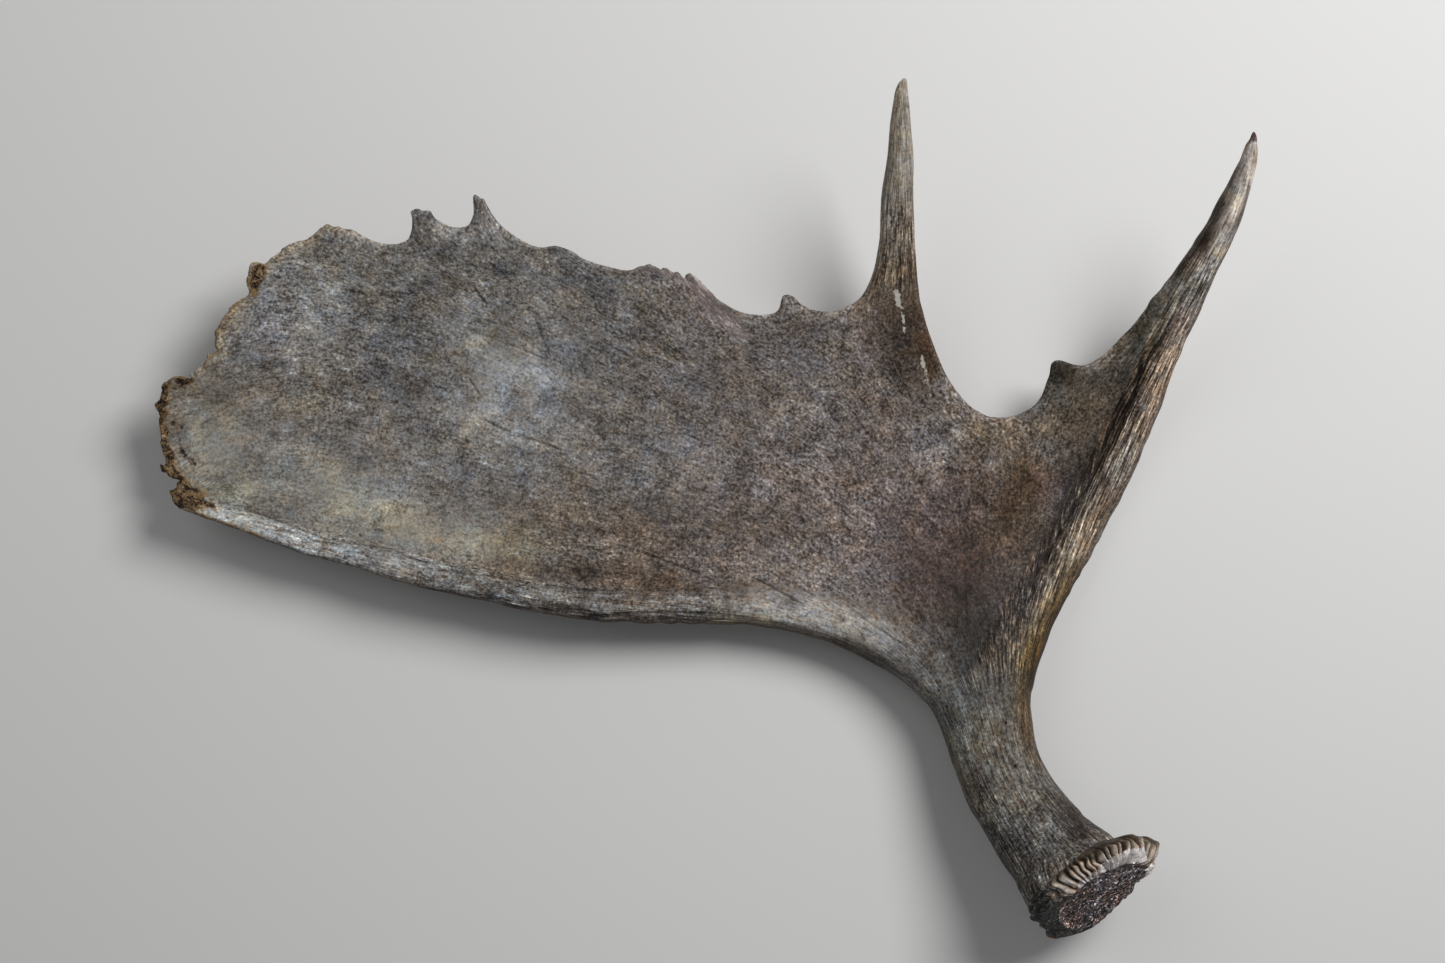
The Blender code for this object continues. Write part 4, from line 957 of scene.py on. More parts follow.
    # brow web and rim: browner bone, an ochre outer edge, painted shade in the valley inside the rim and painted
    # light on the rim's lit face
    add(spot(s, 1085, 410, 46, 60, 30), -1.0, 0.30, 0.0)
    add(blot(1148, 320, 30, 46, 35), -0.55, 0.35, 0.01)
    add(s["brow"], 0.25, 0.42, 0.03)
    add(s["brow"] * blot(1085, 500, 18, 30, 30), 0.15, -0.20)
    add(line(s, [(1238, 232), (1190, 340), (1150, 440), (1108, 526), (1062, 612), (1036, 690),
                 (1036, 740)], 7.0) * up, -0.45, 0.45, 0.0)
    # painted shade in the valley inside the brow rim
    add(line(s, BROW_VALLEY, 14.0) * up, -1.5, 0.0, -0.02)
    add(spot(s, 1080, 468, 22, 30, 25) * up, -0.5, 0.05)
    add(line(s, [(1092, 548), (1064, 604), (1044, 650), (1024, 700)], 17) * up, -1.15, 0.35,
        0.06)
    # painted light on the lit face of the brow rim
    add(line(s, [(1122, 430), (1150, 392), (1170, 345)], 14) * up, 0.55, -0.05)
    add(s["brow"] * smooth(360, 280, v), 0.0, -0.30)
    add(line(s, BROW_VALLEY[:7], 6.5) * up, -0.7, 0.05)
    add(line(s, [(1150, 392), (1130, 438), (1104, 486)], 7) * up, 0.45, -0.25)
    add(line(s, [(1056, 610), (1042, 652), (1034, 700)], 12) * up, -0.55, 0.25, 0.06)
    add(line(s, [(1216, 262), (1186, 330), (1160, 395)], 7) * up, 0.30, -0.10)
    # tines: their own tones, painted light on the brow tine's right side, and painted shade with brown stain on
    # its left flank
    add(s["tine"], 0.15, 0.22, 0.01)
    add(s["tine"], 0.0, 0.06, 0.05)
    add(smooth(250, 190, v) * smooth(846, 872, u) * smooth(960, 930, u), 0.35, -0.12)
    add(spot(s, 904, 225, 22, 40) * up, -0.40, 0.05)
    add(spot(s, 915, 320, 30, 46, -20) * up, -0.30, 0.18, 0.02)
    add(spot(s, 903, 100, 16, 40), 0.30, -0.08)
    add(spot(s, 916, 345, 26, 50, -20) * up, -0.45, 0.18, 0.03)
    add(smooth(240, 190, v) * (u > 1180) * up, 0.45, -0.05)
    add(spot(s, 903, 120, 20, 50), 0.35, 0.02)
    add(spot(s, 900, 325, 34, 46) * up, -0.95, 0.20)
    add(line(s, [(908, 240), (914, 290), (924, 340), (940, 380)], 9) * up, -0.85, 0.40)
    add(spot(s, 902, 175, 18, 34), 0.25, -0.05)
    add(spot(s, 902, 105, 16, 30), -0.25, 0.0)
    # painted light along the brow tine's lit right side
    add(line(s, [(1254, 140), (1250, 165), (1241, 194), (1228, 222), (1208, 268)], 10,
             False) * up, 1.15, -0.16)
    add(smooth(143, 139, v) * (u > 1200), -1.2, 0.15, -0.05)
    # painted shade and brown stain on the brow tine's left flank
    add(line(s, [(1240, 156), (1222, 190), (1202, 228), (1186, 256), (1172, 288)], 7) * up,
        -1.6, 0.10)
    add(line(s, [(1226, 196), (1212, 226), (1200, 250)], 6) * up, -1.1, 0.05)
    add(blot(1205, 242, 9, 12, 20), -0.9, 0.0)
    add(blot(1193, 305, 7, 18, 20), -0.6, 0.0)
    # lower rim: bleached crest, dirty crease, painted shade on the wall outside
    crest = s["crest"]
    add(crest * s["lower"], 0.75, -0.24, 0.01)
    add(s["wall"], -1.15, 0.14)
    add(crest * s["lower"] * smooth(400, 440, u) * smooth(760, 640, u), -0.75, 0.04)
    blots = smooth(0.05, 0.75, noise(q / 7.5, 46) + 0.5 * noise(q / 3.4, 47))
    add(crest * s["lower"] * blots * smooth(230, 280, u) * smooth(900, 840, u), -0.85, 0.02,
        -0.01)
    add(crest * s["lower"] * smooth(290, 330, u) * smooth(440, 400, u), -0.20, 0.04)
    add(crest * s["lower"] * smooth(270, 240, u), 0.35, 0.06)
    add(spot(s, 822, 622, 40, 14, 20), 0.45, 0.0)
    add(s["lower"] * crest * spot(s, 740, 605, 60, 20), -0.45, 0.02)
    add(s["lower"] * crest * spot(s, 620, 600, 50, 20), -0.25, 0.14)
    add(s["lower"] * spot(s, 858, 652, 34, 16, 30), -0.55, 0.05)
    add(s["lower"] * spot(s, 895, 660, 26, 20, 40) * up, -0.25, 0.0)
    add(s["lower"] * smooth(360, 420, u), 0.0, 0.17)
    add(crest * s["lower"] * smooth(380, 300, u), 0.35, 0.04)
    add(s["lower"] * smooth(3.2, 0.6, s["d"]), -0.20, 0.20)
    # beam
    beam = s["beam"]
    add(beam, -0.85, 0.06, 0.03)
    add(spot(s, 955, 675, 40, 26) * up, -0.5, 0.0)
    add(beam * blot(1008, 700, 16, 50, -4), 0.25, 0.30)
    add(beam * blot(965, 730, 18, 40, -20), 0.35, -0.05, 0.02)
    add(beam * line(s, [(1026, 660), (1024, 700), (1028, 740), (1042, 776)], 10), -0.65, 0.55,
        0.02)
    add(beam * spot(s, 1078, 822, 26, 18, 40), -0.7, 0.05)
    add(beam * blot(985, 760, 22, 60, -24), 0.25, 0.0, 0.02)
    add(spot(s, 1062, 850, 50, 16, -32) * up, -0.25, 0.10)
    # painted shade along the beam's left edge
    add(line(s, [(905, 684), (935, 716), (950, 755), (966, 800), (1000, 860), (1026, 894)],
             7) * beam, -0.8, 0.1)
    add(beam * smooth(0.15, 0.9, noise(q / 11.0, 48)), -0.45, 0.40, 0.02)
    add(beam * smooth(0.25, 0.9, noise(q / 8.0, 49)), 0.35, -0.12, 0.01)
    add(spot(s, 990, 700, 40, 60) * beam, -0.20, 0.05)
    add(spot(s, 1078, 806, 20, 30, 40) * beam, -0.45, 0.12)
    add(spot(s, 930, 690, 24, 18, 40), 0.75, 0.0)
    add(spot(s, 1000, 830, 40, 40) * beam, -0.25, 0.0)
    add(spot(s, 1066, 812, 30, 30, 40) * beam, -0.30, 0.08)
    add(spot(s, 1062, 856, 46, 12, -32) * up, -0.30, 0.2)
    # small points and knobs; the knob at the brow's root is darkened as painted shade
    add(blot(420, 216, 12, 10), -0.15, 0.1)
    add(spot(s, 1062, 370, 15, 12), -1.9, 0.3)
    add(blot(788, 298, 9, 7), 0.1, 0.1)
    # shifts that bring each place to the tone seen there, painted light and shade among them
    add(spot(s, 350, 312, 60, 46), 0.13)
    add(spot(s, 395, 270, 50, 22), 0.10, -0.08)
    add(spot(s, 420, 458, 44, 28), 0.12)
    add(spot(s, 860, 500, 40, 30), 0.13, 0.03)
    add(spot(s, 650, 450, 70, 50), -0.10)
    add(spot(s, 600, 530, 60, 22), -0.12, 0.04)
    add(spot(s, 515, 535, 28, 18), -0.07, 0.14)
    add(spot(s, 330, 478, 36, 24), -0.13, -0.11, -0.02)
    add(spot(s, 260, 476, 36, 26), -0.15, -0.08, 0.0)
    add(spot(s, 212, 440, 28, 40), 0.04, 0.06, 0.03)
    add(spot(s, 225, 495, 30, 10, 15), 0.05, 0.05, 0.06)
    add(line(s, [(560, 566), (620, 572), (680, 577)], 12), -0.15, 0.06)
    add(spot(s, 760, 370, 46, 32), 0.0, -0.12)
    add(spot(s, 750, 520, 50, 36), 0.0, 0.06)
    add(spot(s, 1010, 505, 26, 40, 20), -0.20, 0.15, 0.01)
    add(spot(s, 955, 585, 40, 34), -0.15, 0.10)
    add(spot(s, 980, 640, 30, 30), -0.40, 0.05)
    add(spot(s, 950, 455, 28, 36), 0.20, -0.03)
    add(spot(s, 250, 519, 26, 12, 18), 0.0, -0.10)
    add(spot(s, 325, 550, 26, 12, 15), 0.17)
    add(spot(s, 400, 566, 36, 14, 12), 0.03, 0.17)
    add(spot(s, 495, 597, 34, 8, 8), 0.48, -0.16, -0.01)
    add(spot(s, 745, 618, 40, 9), 0.48, 0.28, 0.06)
    add(spot(s, 820, 621, 26, 12, 20), 0.24)
    add(spot(s, 960, 680, 34, 22) * up, 0.52)
    add(line(s, [(944, 728), (956, 762), (966, 790), (984, 822)], 8) * up, 0.35, 0.28, 0.04)
    add(line(s, [(1022, 680), (1024, 715), (1030, 745)], 7) * up, 0.0, 0.42, 0.04)
    add(spot(s, 1040, 850, 34, 24) * up, -0.12)
    add(spot(s, 1082, 825, 18, 14, 40) * up, -0.42, 0.12, -0.04)
    add(spot(s, 1036, 655, 14, 24, 15) * up, -0.32, 0.50, 0.07)
    add(spot(s, 1057, 602, 14, 28, 28) * up, -0.35, 0.26, 0.02)
    add(line(s, [(1120, 470), (1099, 515), (1078, 556)], 13) * up, -0.46, 0.20, -0.03)
    add(line(s, [(1162, 360), (1152, 390), (1136, 430)], 12) * up, -0.42, 0.10, -0.02)
    add(spot(s, 1182, 320, 14, 24, 25) * up, 0.46, -0.07, -0.10)
    add(spot(s, 1087, 470, 10, 22, 30) * up, 0.0, 0.18)
    add(spot(s, 1092, 420, 26, 34, 30) * up, -0.16, 0.14)
    add(spot(s, 1140, 345, 14, 16) * up, 0.0, 0.04, 0.05)
    add(spot(s, 902, 320, 18, 26) * up, -0.26, 0.06)
    add(line(s, [(924, 330), (928, 360), (936, 385)], 8) * up, -0.42, 0.50)
    lone = smooth(300, 240, v) * (u > 1160)
    add(lone * up, 0.0, -0.14, -0.13)
    # painted shade on the brow tine's left flank
    add(line(s, [(1210, 226), (1204, 246), (1196, 262)], 7) * up, -0.65, 0.0)
    # painted light along the brow tine's lit right side
    add(line(s, [(1256, 145), (1251, 170), (1244, 195), (1235, 222), (1223, 250)], 6,
             False) * up, 0.45, -0.06)
    add(spot(s, 1247, 172, 9, 16, 15) * up, 0.15, -0.10)
    # painted shadow strip just inside the brow tine's right edge
    add(line(s, [(1250, 180), (1245, 205), (1236, 230)], 1.4), -1.3, 0.1)
    add(smooth(142.5, 140.0, v + 0.4 * noise(q / 2.2, 50)) * (u > 1200), -1.4, 0.55, -0.10)
    add(spot(s, 1063, 370, 12, 12), -0.50, 0.25, 0.07)
    add(s["tinged"], 0.12, 0.42, 0.06)
    add(spot(s, 222, 341, 7, 9), 0.45, 0.10, 0.02)
    add(line(s, [(296, 286), (310, 306), (322, 326)], 6), 0.35, -0.04, 0.01)
    add(line(s, [(312, 262), (324, 284), (340, 300)], 5), 0.22, -0.04)
    add(spot(s, 268, 330, 26, 30), -0.10, -0.10, -0.03)
    add(spot(s, 750, 520, 50, 36), -0.12)
    add(spot(s, 295, 390, 34, 50), -0.10)
    add(spot(s, 260, 476, 40, 26), -0.09, -0.03)
    add(spot(s, 860, 500, 40, 30), 0.09)
    add(spot(s, 750, 520, 60, 40), 0.0, 0.05)
    add(spot(s, 650, 330, 40, 30), 0.09)
    add(spot(s, 620, 572, 70, 12, 5), -0.12, 0.05)
    add(spot(s, 1010, 505, 24, 40, 20), -0.08, 0.12, 0.01)
    add(spot(s, 960, 590, 50, 40, 40), -0.15, 0.06)
    add(spot(s, 984, 642, 30, 30), -0.26, 0.03)
    add(spot(s, 495, 597, 34, 8, 8), 0.20, -0.10, -0.01)
    add(spot(s, 640, 598, 50, 7), -0.16, 0.06)
    add(spot(s, 745, 605, 30, 8), 0.12)
    add(spot(s, 745, 618, 34, 8), -0.18, 0.08)
    add(spot(s, 858, 648, 20, 10, 30), -0.20, 0.06, 0.02)
    add(spot(s, 960, 680, 34, 22) * up, 0.18, -0.05)
    add(line(s, [(944, 728), (956, 762), (966, 790), (984, 822)], 8) * up, 0.12, 0.12, 0.02)
    add(line(s, [(1022, 680), (1024, 715), (1030, 745)], 7) * up, -0.10, 0.16, 0.02)
    add(spot(s, 990, 765, 26, 30) * up, -0.10)
    add(spot(s, 1082, 825, 18, 14, 40) * up, -0.20, 0.12, -0.02)
    add(spot(s, 1036, 655, 14, 24, 15) * up, -0.15, 0.36, 0.08)
    add(spot(s, 1057, 602, 14, 28, 28) * up, 0.05, 0.22, 0.05)
    add(line(s, [(1120, 470), (1099, 515), (1078, 556)], 13) * up, 0.12, 0.08, 0.02)
    add(line(s, [(1162, 360), (1152, 390), (1130, 440)], 12) * up, 0.34, -0.04, 0.02)
    add(spot(s, 1182, 320, 14, 24, 25) * up, 0.24, -0.06, 0.0)
    add(line(s, [(1140, 436), (1124, 470), (1112, 496)], 5) * up, 0.35, -0.25, 0.02)
    add(spot(s, 1108, 512, 6, 12, 30) * up, -0.45, -0.15)
    add(spot(s, 1087, 470, 10, 22, 30) * up, 0.0, 0.08)
    add(spot(s, 1092, 420, 26, 34, 30) * up, -0.08, 0.08)
    add(line(s, [(924, 330), (928, 360), (936, 385)], 8) * up, -0.12, 0.30, 0.05)
    add(spot(s, 905, 225, 20, 34), 0.0, 0.08)
    add(spot(s, 902, 130, 16, 30), -0.12, -0.06)
    add(lone * up, 0.0, 0.03, 0.09)
    add(spot(s, 1247, 172, 11, 20, 15) * up, -0.24, -0.03)
    add(spot(s, 1206, 244, 7, 14, 20) * up, -0.20, 0.16)
    add(spot(s, 1202, 262, 14, 14) * up, -0.25, 0.10, -0.03)
    add(spot(s, 1003, 434, 34, 12), 0.26, 0.12, 0.05)
    add(spot(s, 1063, 369, 11, 10), -0.45, 0.12, 0.02)
    for pts in ([(657, 273), (660, 290)], [(665.5, 274), (668, 292)], [(671, 276), (673, 292)],
                [(675.5, 278), (677, 289)], [(681, 279), (684, 290)]):
        add(line(s, pts, 2.6) * up, 0.55, -0.16)
    add(line(s, [(655, 266), (668, 268), (682, 273)], 3.5) * up, -0.35, 0.25)
    add(line(s, [(688, 274), (700, 288), (716, 308), (732, 325), (748, 343)], 8), 0.30, 0.04,
        -0.04)
    add(line(s, [(706, 284), (722, 302), (738, 316), (760, 326)], 3), -0.45, 0.15, 0.05)
    add(spot(s, 505, 588, 44, 9, 8), -0.52, 0.12)
    add(spot(s, 630, 594, 50, 8), -0.14, 0.04)
    add(spot(s, 1042, 640, 14, 40, 22) * up, -0.10, 0.16, 0.05)
    add(smooth(720, 780, v) * (u > 940) * up, 0.0, 0.05)
    add(spot(s, 1058, 800, 40, 20, 40) * up, -0.06, 0.06)
    add(spot(s, 902, 130, 14, 60), 0.05)
    add(spot(s, 1250, 138, 10, 22) * up, -0.08, 0.0, -0.02)
    add(spot(s, 620, 590, 50, 9), -0.18)
    add(spot(s, 745, 600, 34, 9), 0.12)
    add(spot(s, 740, 572, 50, 12), 0.14)
    add(spot(s, 600, 535, 50, 24), -0.10)
    add(spot(s, 820, 621, 26, 12, 20), -0.10)
    add(spot(s, 1036, 655, 14, 24, 15) * up, -0.20, 0.20, 0.04)
    add(spot(s, 1060, 602, 12, 22, 28) * up, 0.08, 0.08, 0.02)
    add(line(s, [(1112, 484), (1099, 515), (1084, 545)], 13) * up, 0.10)
    add(spot(s, 1178, 322, 14, 24, 25) * up, -0.32)
    add(spot(s, 1088, 470, 10, 22, 30) * up, -0.24)
    add(spot(s, 1134, 382, 8, 20, 30) * up, -0.10, -0.12)
    add(spot(s, 1064, 372, 20, 18), -0.18)
    add(line(s, [(924, 330), (928, 360), (936, 385)], 8) * up, -0.18, 0.20, 0.03)
    add(spot(s, 1247, 160, 12, 24, 15) * up, 0.0, -0.12, -0.02)
    add(spot(s, 460, 380, 60, 60), 0.0, -0.02)
    add(spot(s, 230, 430, 60, 50), 0.0, 0.03)
    add(smooth(820, 850, v) * (u > 940) * up, -0.10)
    add(line(s, [(1040, 560), (1020, 610), (1008, 650)], 10) * up, -0.12)
    add(spot(s, 460, 380, 60, 60), 0.08)
    add(spot(s, 250, 519, 30, 12, 18), -0.20)
    add(spot(s, 490, 586, 40, 8, 8), -0.18)
    add(spot(s, 390, 566, 40, 9, 12), -0.10)
    add(spot(s, 820, 621, 26, 12, 20), -0.12)
    add(spot(s, 855, 645, 20, 10, 30), 0.15)
    add(spot(s, 745, 603, 30, 8), 0.14)
    add(spot(s, 750, 520, 50, 36), -0.12)
    add(spot(s, 984, 642, 30, 30), -0.13, 0.05)
    add(spot(s, 960, 590, 50, 40, 40), -0.09, 0.10)
    add(line(s, BROW_VALLEY, 12) * up, 0.0, 0.05)
    add(spot(s, 1036, 655, 14, 24, 15) * up, -0.25, 0.25, 0.07)
    add(spot(s, 1057, 602, 12, 22, 28) * up, -0.05, 0.14, 0.03)
    add(line(s, [(1112, 484), (1099, 515), (1084, 545)], 13) * up, -0.08)
    add(spot(s, 1152, 390, 12, 24, 28) * up, -0.10, 0.0, -0.01)
    add(spot(s, 1087, 472, 10, 20, 30) * up, -0.20)
    add(spot(s, 1134, 380, 8, 16, 30) * up, 0.16)
    add(spot(s, 1140, 345, 14, 16) * up, -0.17)
    add(spot(s, 1078, 400, 34, 30) * up, 0.0, 0.06, 0.05)
    add(line(s, [(1022, 680), (1024, 715), (1030, 745)], 7) * up, -0.10, 0.12, 0.02)
    add(spot(s, 1040, 850, 34, 24) * up, -0.15)
    add(spot(s, 1082, 825, 18, 14, 40) * up, -0.17, 0.08)
    add(spot(s, 902, 230, 20, 34), -0.22)
    add(spot(s, 902, 170, 16, 26), -0.17, -0.10)
    add(spot(s, 903, 125, 14, 22), 0.10, -0.04)
    add(lone * up, -0.12, 0.04, -0.03)
    add(spot(s, 1247, 172, 10, 24, 15) * up, -0.22, 0.08)
    add(line(s, [(1206, 205), (1220, 180), (1233, 155), (1243, 136)], 5) * up, 0.0, 0.45)
    add(line(s, [(1212, 222), (1200, 246), (1188, 266)], 7) * up, -0.12, 0.25, -0.02)
    add(spot(s, 1228, 222, 9, 22, 25) * up, 0.0, -0.06)
    add(spot(s, 1250, 150, 8, 14) * (v > 141), -0.25, 0.30, 0.0)
    # painted shadow strip just inside the brow tine's right edge, near its tip
    add(line(s, [(1254, 142), (1256, 156), (1254, 168)], 2.5) * up, -0.6, 0.3)
    add(spot(s, 1064, 371, 18, 14), -0.12, 0.12, 0.02)
    add(spot(s, 721, 318, 8, 8), 0.5)
    add(line(s, [(726, 320), (737, 331), (748, 343)], 6.5), 1.1, -0.10)
    add(spot(s, 398, 378, 34, 30), 0.08)
    add(spot(s, 655, 335, 34, 34), 0.08)
    add(spot(s, 580, 315, 34, 24), -0.10)
    add(spot(s, 350, 310, 50, 40), -0.05)
    # small corrections of tone along the rims and the tines
    add(spot(s, 1206, 241, 9, 15, 30), 0.28)
    add(spot(s, 1092, 420, 24, 28), 0.12)
    add(spot(s, 898, 320, 26, 30), 0.12)
    add(spot(s, 495, 597, 32, 8, 8), 0.14)
    add(spot(s, 745, 602, 34, 9, 10), 0.10)
    add(spot(s, 742, 618, 30, 8, 10), -0.10)
    add(spot(s, 980, 640, 30, 30), 0.10)
    add(spot(s, 1036, 655, 12, 22, 30), -0.12)
    add(spot(s, 1152, 390, 16, 16), -0.10)
    add(spot(s, 1005, 435, 32, 12), -0.09)
    add(spot(s, 1082, 825, 18, 16), -0.09)
    add(spot(s, 1010, 505, 26, 40), 0.07)
    add(spot(s, 860, 500, 44, 34), 0.06)
    add(spot(s, 620, 572, 66, 12, 8), -0.07)
    add(spot(s, 330, 478, 38, 26), -0.07)
    add(spot(s, 1062, 370, 12, 10), 0.14)
    # painted shade in the furrow beside the brow palm's rim, and the tone of the web next to it
    add(line(s, [(1078, 488), (1067, 507), (1056, 527), (1045, 546), (1035, 568),
                 (1028, 594)], 8) * up, -1.25, 0.10, -0.02)
    add(spot(s, 1052, 486, 15, 22, 30) * up, -0.85, 0.05, -0.11)
    add(spot(s, 1036, 462, 14, 18) * up, 0.50, -0.20, -0.03)
    add(spot(s, 1010, 460, 18, 15) * up, 0.55, -0.05, 0.04)
    add(spot(s, 1245, 174, 7, 12, 15) * up, -0.13)
    add(spot(s, 1229, 222, 8, 16, 25) * up, 0.13)
    add(spot(s, 1004, 433, 26, 9) * up, -0.06)
    add(spot(s, 1082, 825, 14, 12, 40) * up, -0.11)
    add(spot(s, 1050, 435, 12, 12) * up, 0.18, 0.28, 0.02)
    add(spot(s, 1092, 455, 6, 10, 30) * up, 0.0, -0.28)
    add(spot(s, 1105, 468, 6, 10, 30) * up, 0.75)
    add(spot(s, 1085, 508, 7, 9, 30) * up, -0.25, 0.28, 0.04)
    add(spot(s, 1066, 547, 9, 12, 28) * up, 0.22)
    add(spot(s, 1046, 588, 10, 12, 28) * up, 0.20, -0.30)
    add(line(s, [(1152, 340), (1118, 405), (1090, 480)], 11) * up, 0.0, 0.08, 0.03)
    # the pale rim of the palm reaches further up
    add(line(s, [(606, 584), (640, 582), (674, 580)], 8), 0.38, -0.02)
    add(line(s, [(674, 579), (705, 581), (738, 585)], 9), 0.50, -0.28)
    add(line(s, [(872, 644), (893, 659), (912, 678)], 9), 0.42, -0.08)
    add(spot(s, 740, 580, 36, 12), 0.05, -0.05)
    add(spot(s, 955, 585, 36, 34), 0.13, -0.07)
    add(spot(s, 980, 640, 26, 26), 0.13, -0.05)
    add(spot(s, 890, 632, 36, 14, 25), 0.06, -0.07)
    add(spot(s, 960, 680, 34, 24) * up, 0.12, -0.05)
    add(spot(s, 1036, 655, 10, 18, 15) * up, -0.11, 0.10, 0.05)
    add(line(s, [(946, 730), (962, 765), (978, 800)], 6) * up, 0.15)
    add(spot(s, 1040, 850, 30, 24) * up, -0.13)
    add(line(s, BROW_VALLEY, 10) * up, 0.0, -0.08)
    add(spot(s, 1229, 222, 9, 18, 25) * up, -0.10, -0.04, -0.05)
    add(spot(s, 1206, 241, 5, 10, 25) * up, 0.25)
    # painted shade and brown stain on the brow tine's left side
    add(line(s, [(1218, 213), (1228, 196), (1236, 178)], 5) * up, -0.50)
    add(spot(s, 1251, 152, 8, 10) * (v > 141), -0.12, 0.0, 0.05)
    # the back: a little paler, with darker furrows
    low = smooth(0.2, -0.6, s["side"])
    add(low, 0.15, 0.12, 0.01)
    return lum, warm, olive


def fill_masks(s):
    """Named regions that the relief and the stains share."""
    x, y, u, v = s["x"], s["y"], s["u"], s["v"]
    off, _, r = along_line(RIM_BROW, x, y)
    s["brow"] = smooth(1.25, 0.9, off / (r * PX)) * smooth(700, 660, v)
    off, _, r = along_line(RIM_LOWER, x, y)
    s["lower"] = smooth(1.35, 0.95, off / (r * PX)) * smooth(940, 880, u)
    s["crest"] = np.maximum(s["lower"] * smooth(1.0, 0.55, off / (r * PX)), 0.6 * s["brow"])
    s["tine"] = np.maximum(smooth(330, 270, v) * smooth(846, 872, u) * smooth(960, 930, u),
                           smooth(292, 250, v) * smooth(1150, 1180, u))
    s["beam"] = smooth(650, 720, v) * smooth(900, 930, u)
    q = np.stack([x, y, s["z"]], axis=1)
    reach = 4.4 + 2.6 * noise(q / 8.0, 52) + 1.2 * noise(q / 3.6, 55)
    crumb = smooth(2.2, -1.4, s["d"] - reach) * smooth(205, 190, u) * (v < 508) \
        * smooth(372, 384, v)
    s["stained"] = smooth(13.0, 4.0, s["d"] - 1.5 * noise(q / 9.0, 56)) * smooth(225, 190, u) \
        * smooth(365, 385, v)
    thin = 1.5 + 1.3 * noise(q / 7.0, 53)
    crumb = np.maximum(crumb, 0.45 * smooth(0.8, -0.5, s["d"] - thin) * smooth(300, 230, u)
                       * smooth(232, 262, v + 0.35 * (u - 262)) * (u > 195))
    s["tinged"] = smooth(8.5, 2.0, s["d"] - 1.8 * noise(q / 7.0, 58)) * smooth(390, 330, u) \
        * smooth(400, 370, v) * smooth(195, 215, u) * (v < 420)
    crumb = np.maximum(crumb, 1.3 * spot(s, 188, 496, 19, 11, 22))
    crumb = np.maximum(crumb, spot(s, 210, 505, 9, 3, 12))
    crumb = np.maximum(crumb, 1.1 * spot(s, 257, 277, 7, 16, 12))
    crumb = np.clip(crumb * (1.0 + 0.45 * noise(q / 6.5, 51) + 0.35 * noise(q / 3.0, 54)), 0, 1)
    band = line(s, [(688, 274), (700, 288), (716, 308), (732, 325), (748, 343)], 7.5)
    fray = smooth(634, 644, u) * smooth(760, 745, u) * (v < 350) \
        * np.maximum(np.maximum(smooth(5.0, 2.0, s["d"]) * smooth(705, 690, u),
                                0.25 * spot(s, 666, 274, 15, 9)), 1.15 * band)
    crumb = crumb * (1 - 0.7 * spot(s, 174, 385, 6, 6))
    s["crumb"] = crumb
    s["fray"] = fray
    # how strongly the bone is mottled, and how strongly it is ribbed
    con = 1.0 - 0.06 * smooth(720, 840, u)
    for at in ((515, 380, 60, 60), (220, 440, 60, 60), (430, 530, 90, 32), (330, 480, 60, 40)):
        con = con - 0.5 * spot(s, *at)
    con = con + 0.15 * spot(s, 1000, 570, 60, 60) + 0.55 * spot(s, 984, 642, 34, 34)
    con = con + 0.35 * line(s, [(520, 530), (600, 552), (680, 568), (760, 575)], 34)
    con = con + 0.15 * spot(s, 760, 500, 90, 80)
    con = con + 0.16 * noise(q / 26.0, 57)
    s["contrast"] = np.clip(con, 0.4, 1.6)
    s["keen"] = 1.0 + 0.32 * smooth(700, 840, u)
    calm = 1.0 + 0.10 * s["beam"] + 0.05 * s["brow"] * smooth(230, 300, v)
    calm = calm - 0.04 * spot(s, 1066, 620, 40, 70, 25)
    calm = calm - 0.15 * smooth(420, 330, v) * smooth(846, 872, u) * smooth(960, 930, u)
    calm = calm - 0.42 * smooth(245, 165, v) * smooth(846, 872, u) * smooth(960, 930, u)
    calm = calm + 0.30 * spot(s, 904, 250, 20, 40) + 0.45 * spot(s, 984, 642, 34, 34)
    calm = calm + 0.55 * smooth(760, 840, v) * smooth(940, 980, u)
    calm = calm - 0.54 * smooth(290, 215, v) * smooth(1150, 1180, u)
    calm = calm - 0.16 * spot(s, 965, 690, 50, 50)
    calm = calm + 0.35 * line(s, BROW_VALLEY, 12)
    calm = calm - 0.30 * s["lower"] * smooth(300, 250, u)
    calm = calm - 0.62 * s["lower"] * smooth(690, 760, u)
    calm = calm - 0.22 * s["lower"] * smooth(440, 400, u) * smooth(340, 380, u)
    calm = calm - 0.15 * s["lower"] * spot(s, 630, 598, 60, 12)
    s["calm"] = calm + 0.25 * s["lower"] * smooth(380, 460, u)
    # the outer wall of the lower rim, which the colour darkens as painted shade
    wall = np.interp(u, [400, 470, 560, 700, 790, 850, 900],
                     [0.0, 4.0, 7.5, 6.0, 4.0, 6.5, 9.0])
    s["wall"] = smooth(1.6, -1.4, s["d"] - wall) * s["lower"] * smooth(400, 440, u)
    s["ribbed"] = np.clip(1.0 * s["brow"] + 0.8 * s["tine"] + 0.3 * s["beam"]
                          + 0.1 * s["lower"] + 0.5 * s["wall"], 0, 1)
    s["rod"] = np.maximum.reduce([smooth(9, 18, s["half"]), smooth(2.5, 7, s["rim"]),
                                  s["tine"], s["brow"], s["beam"]])


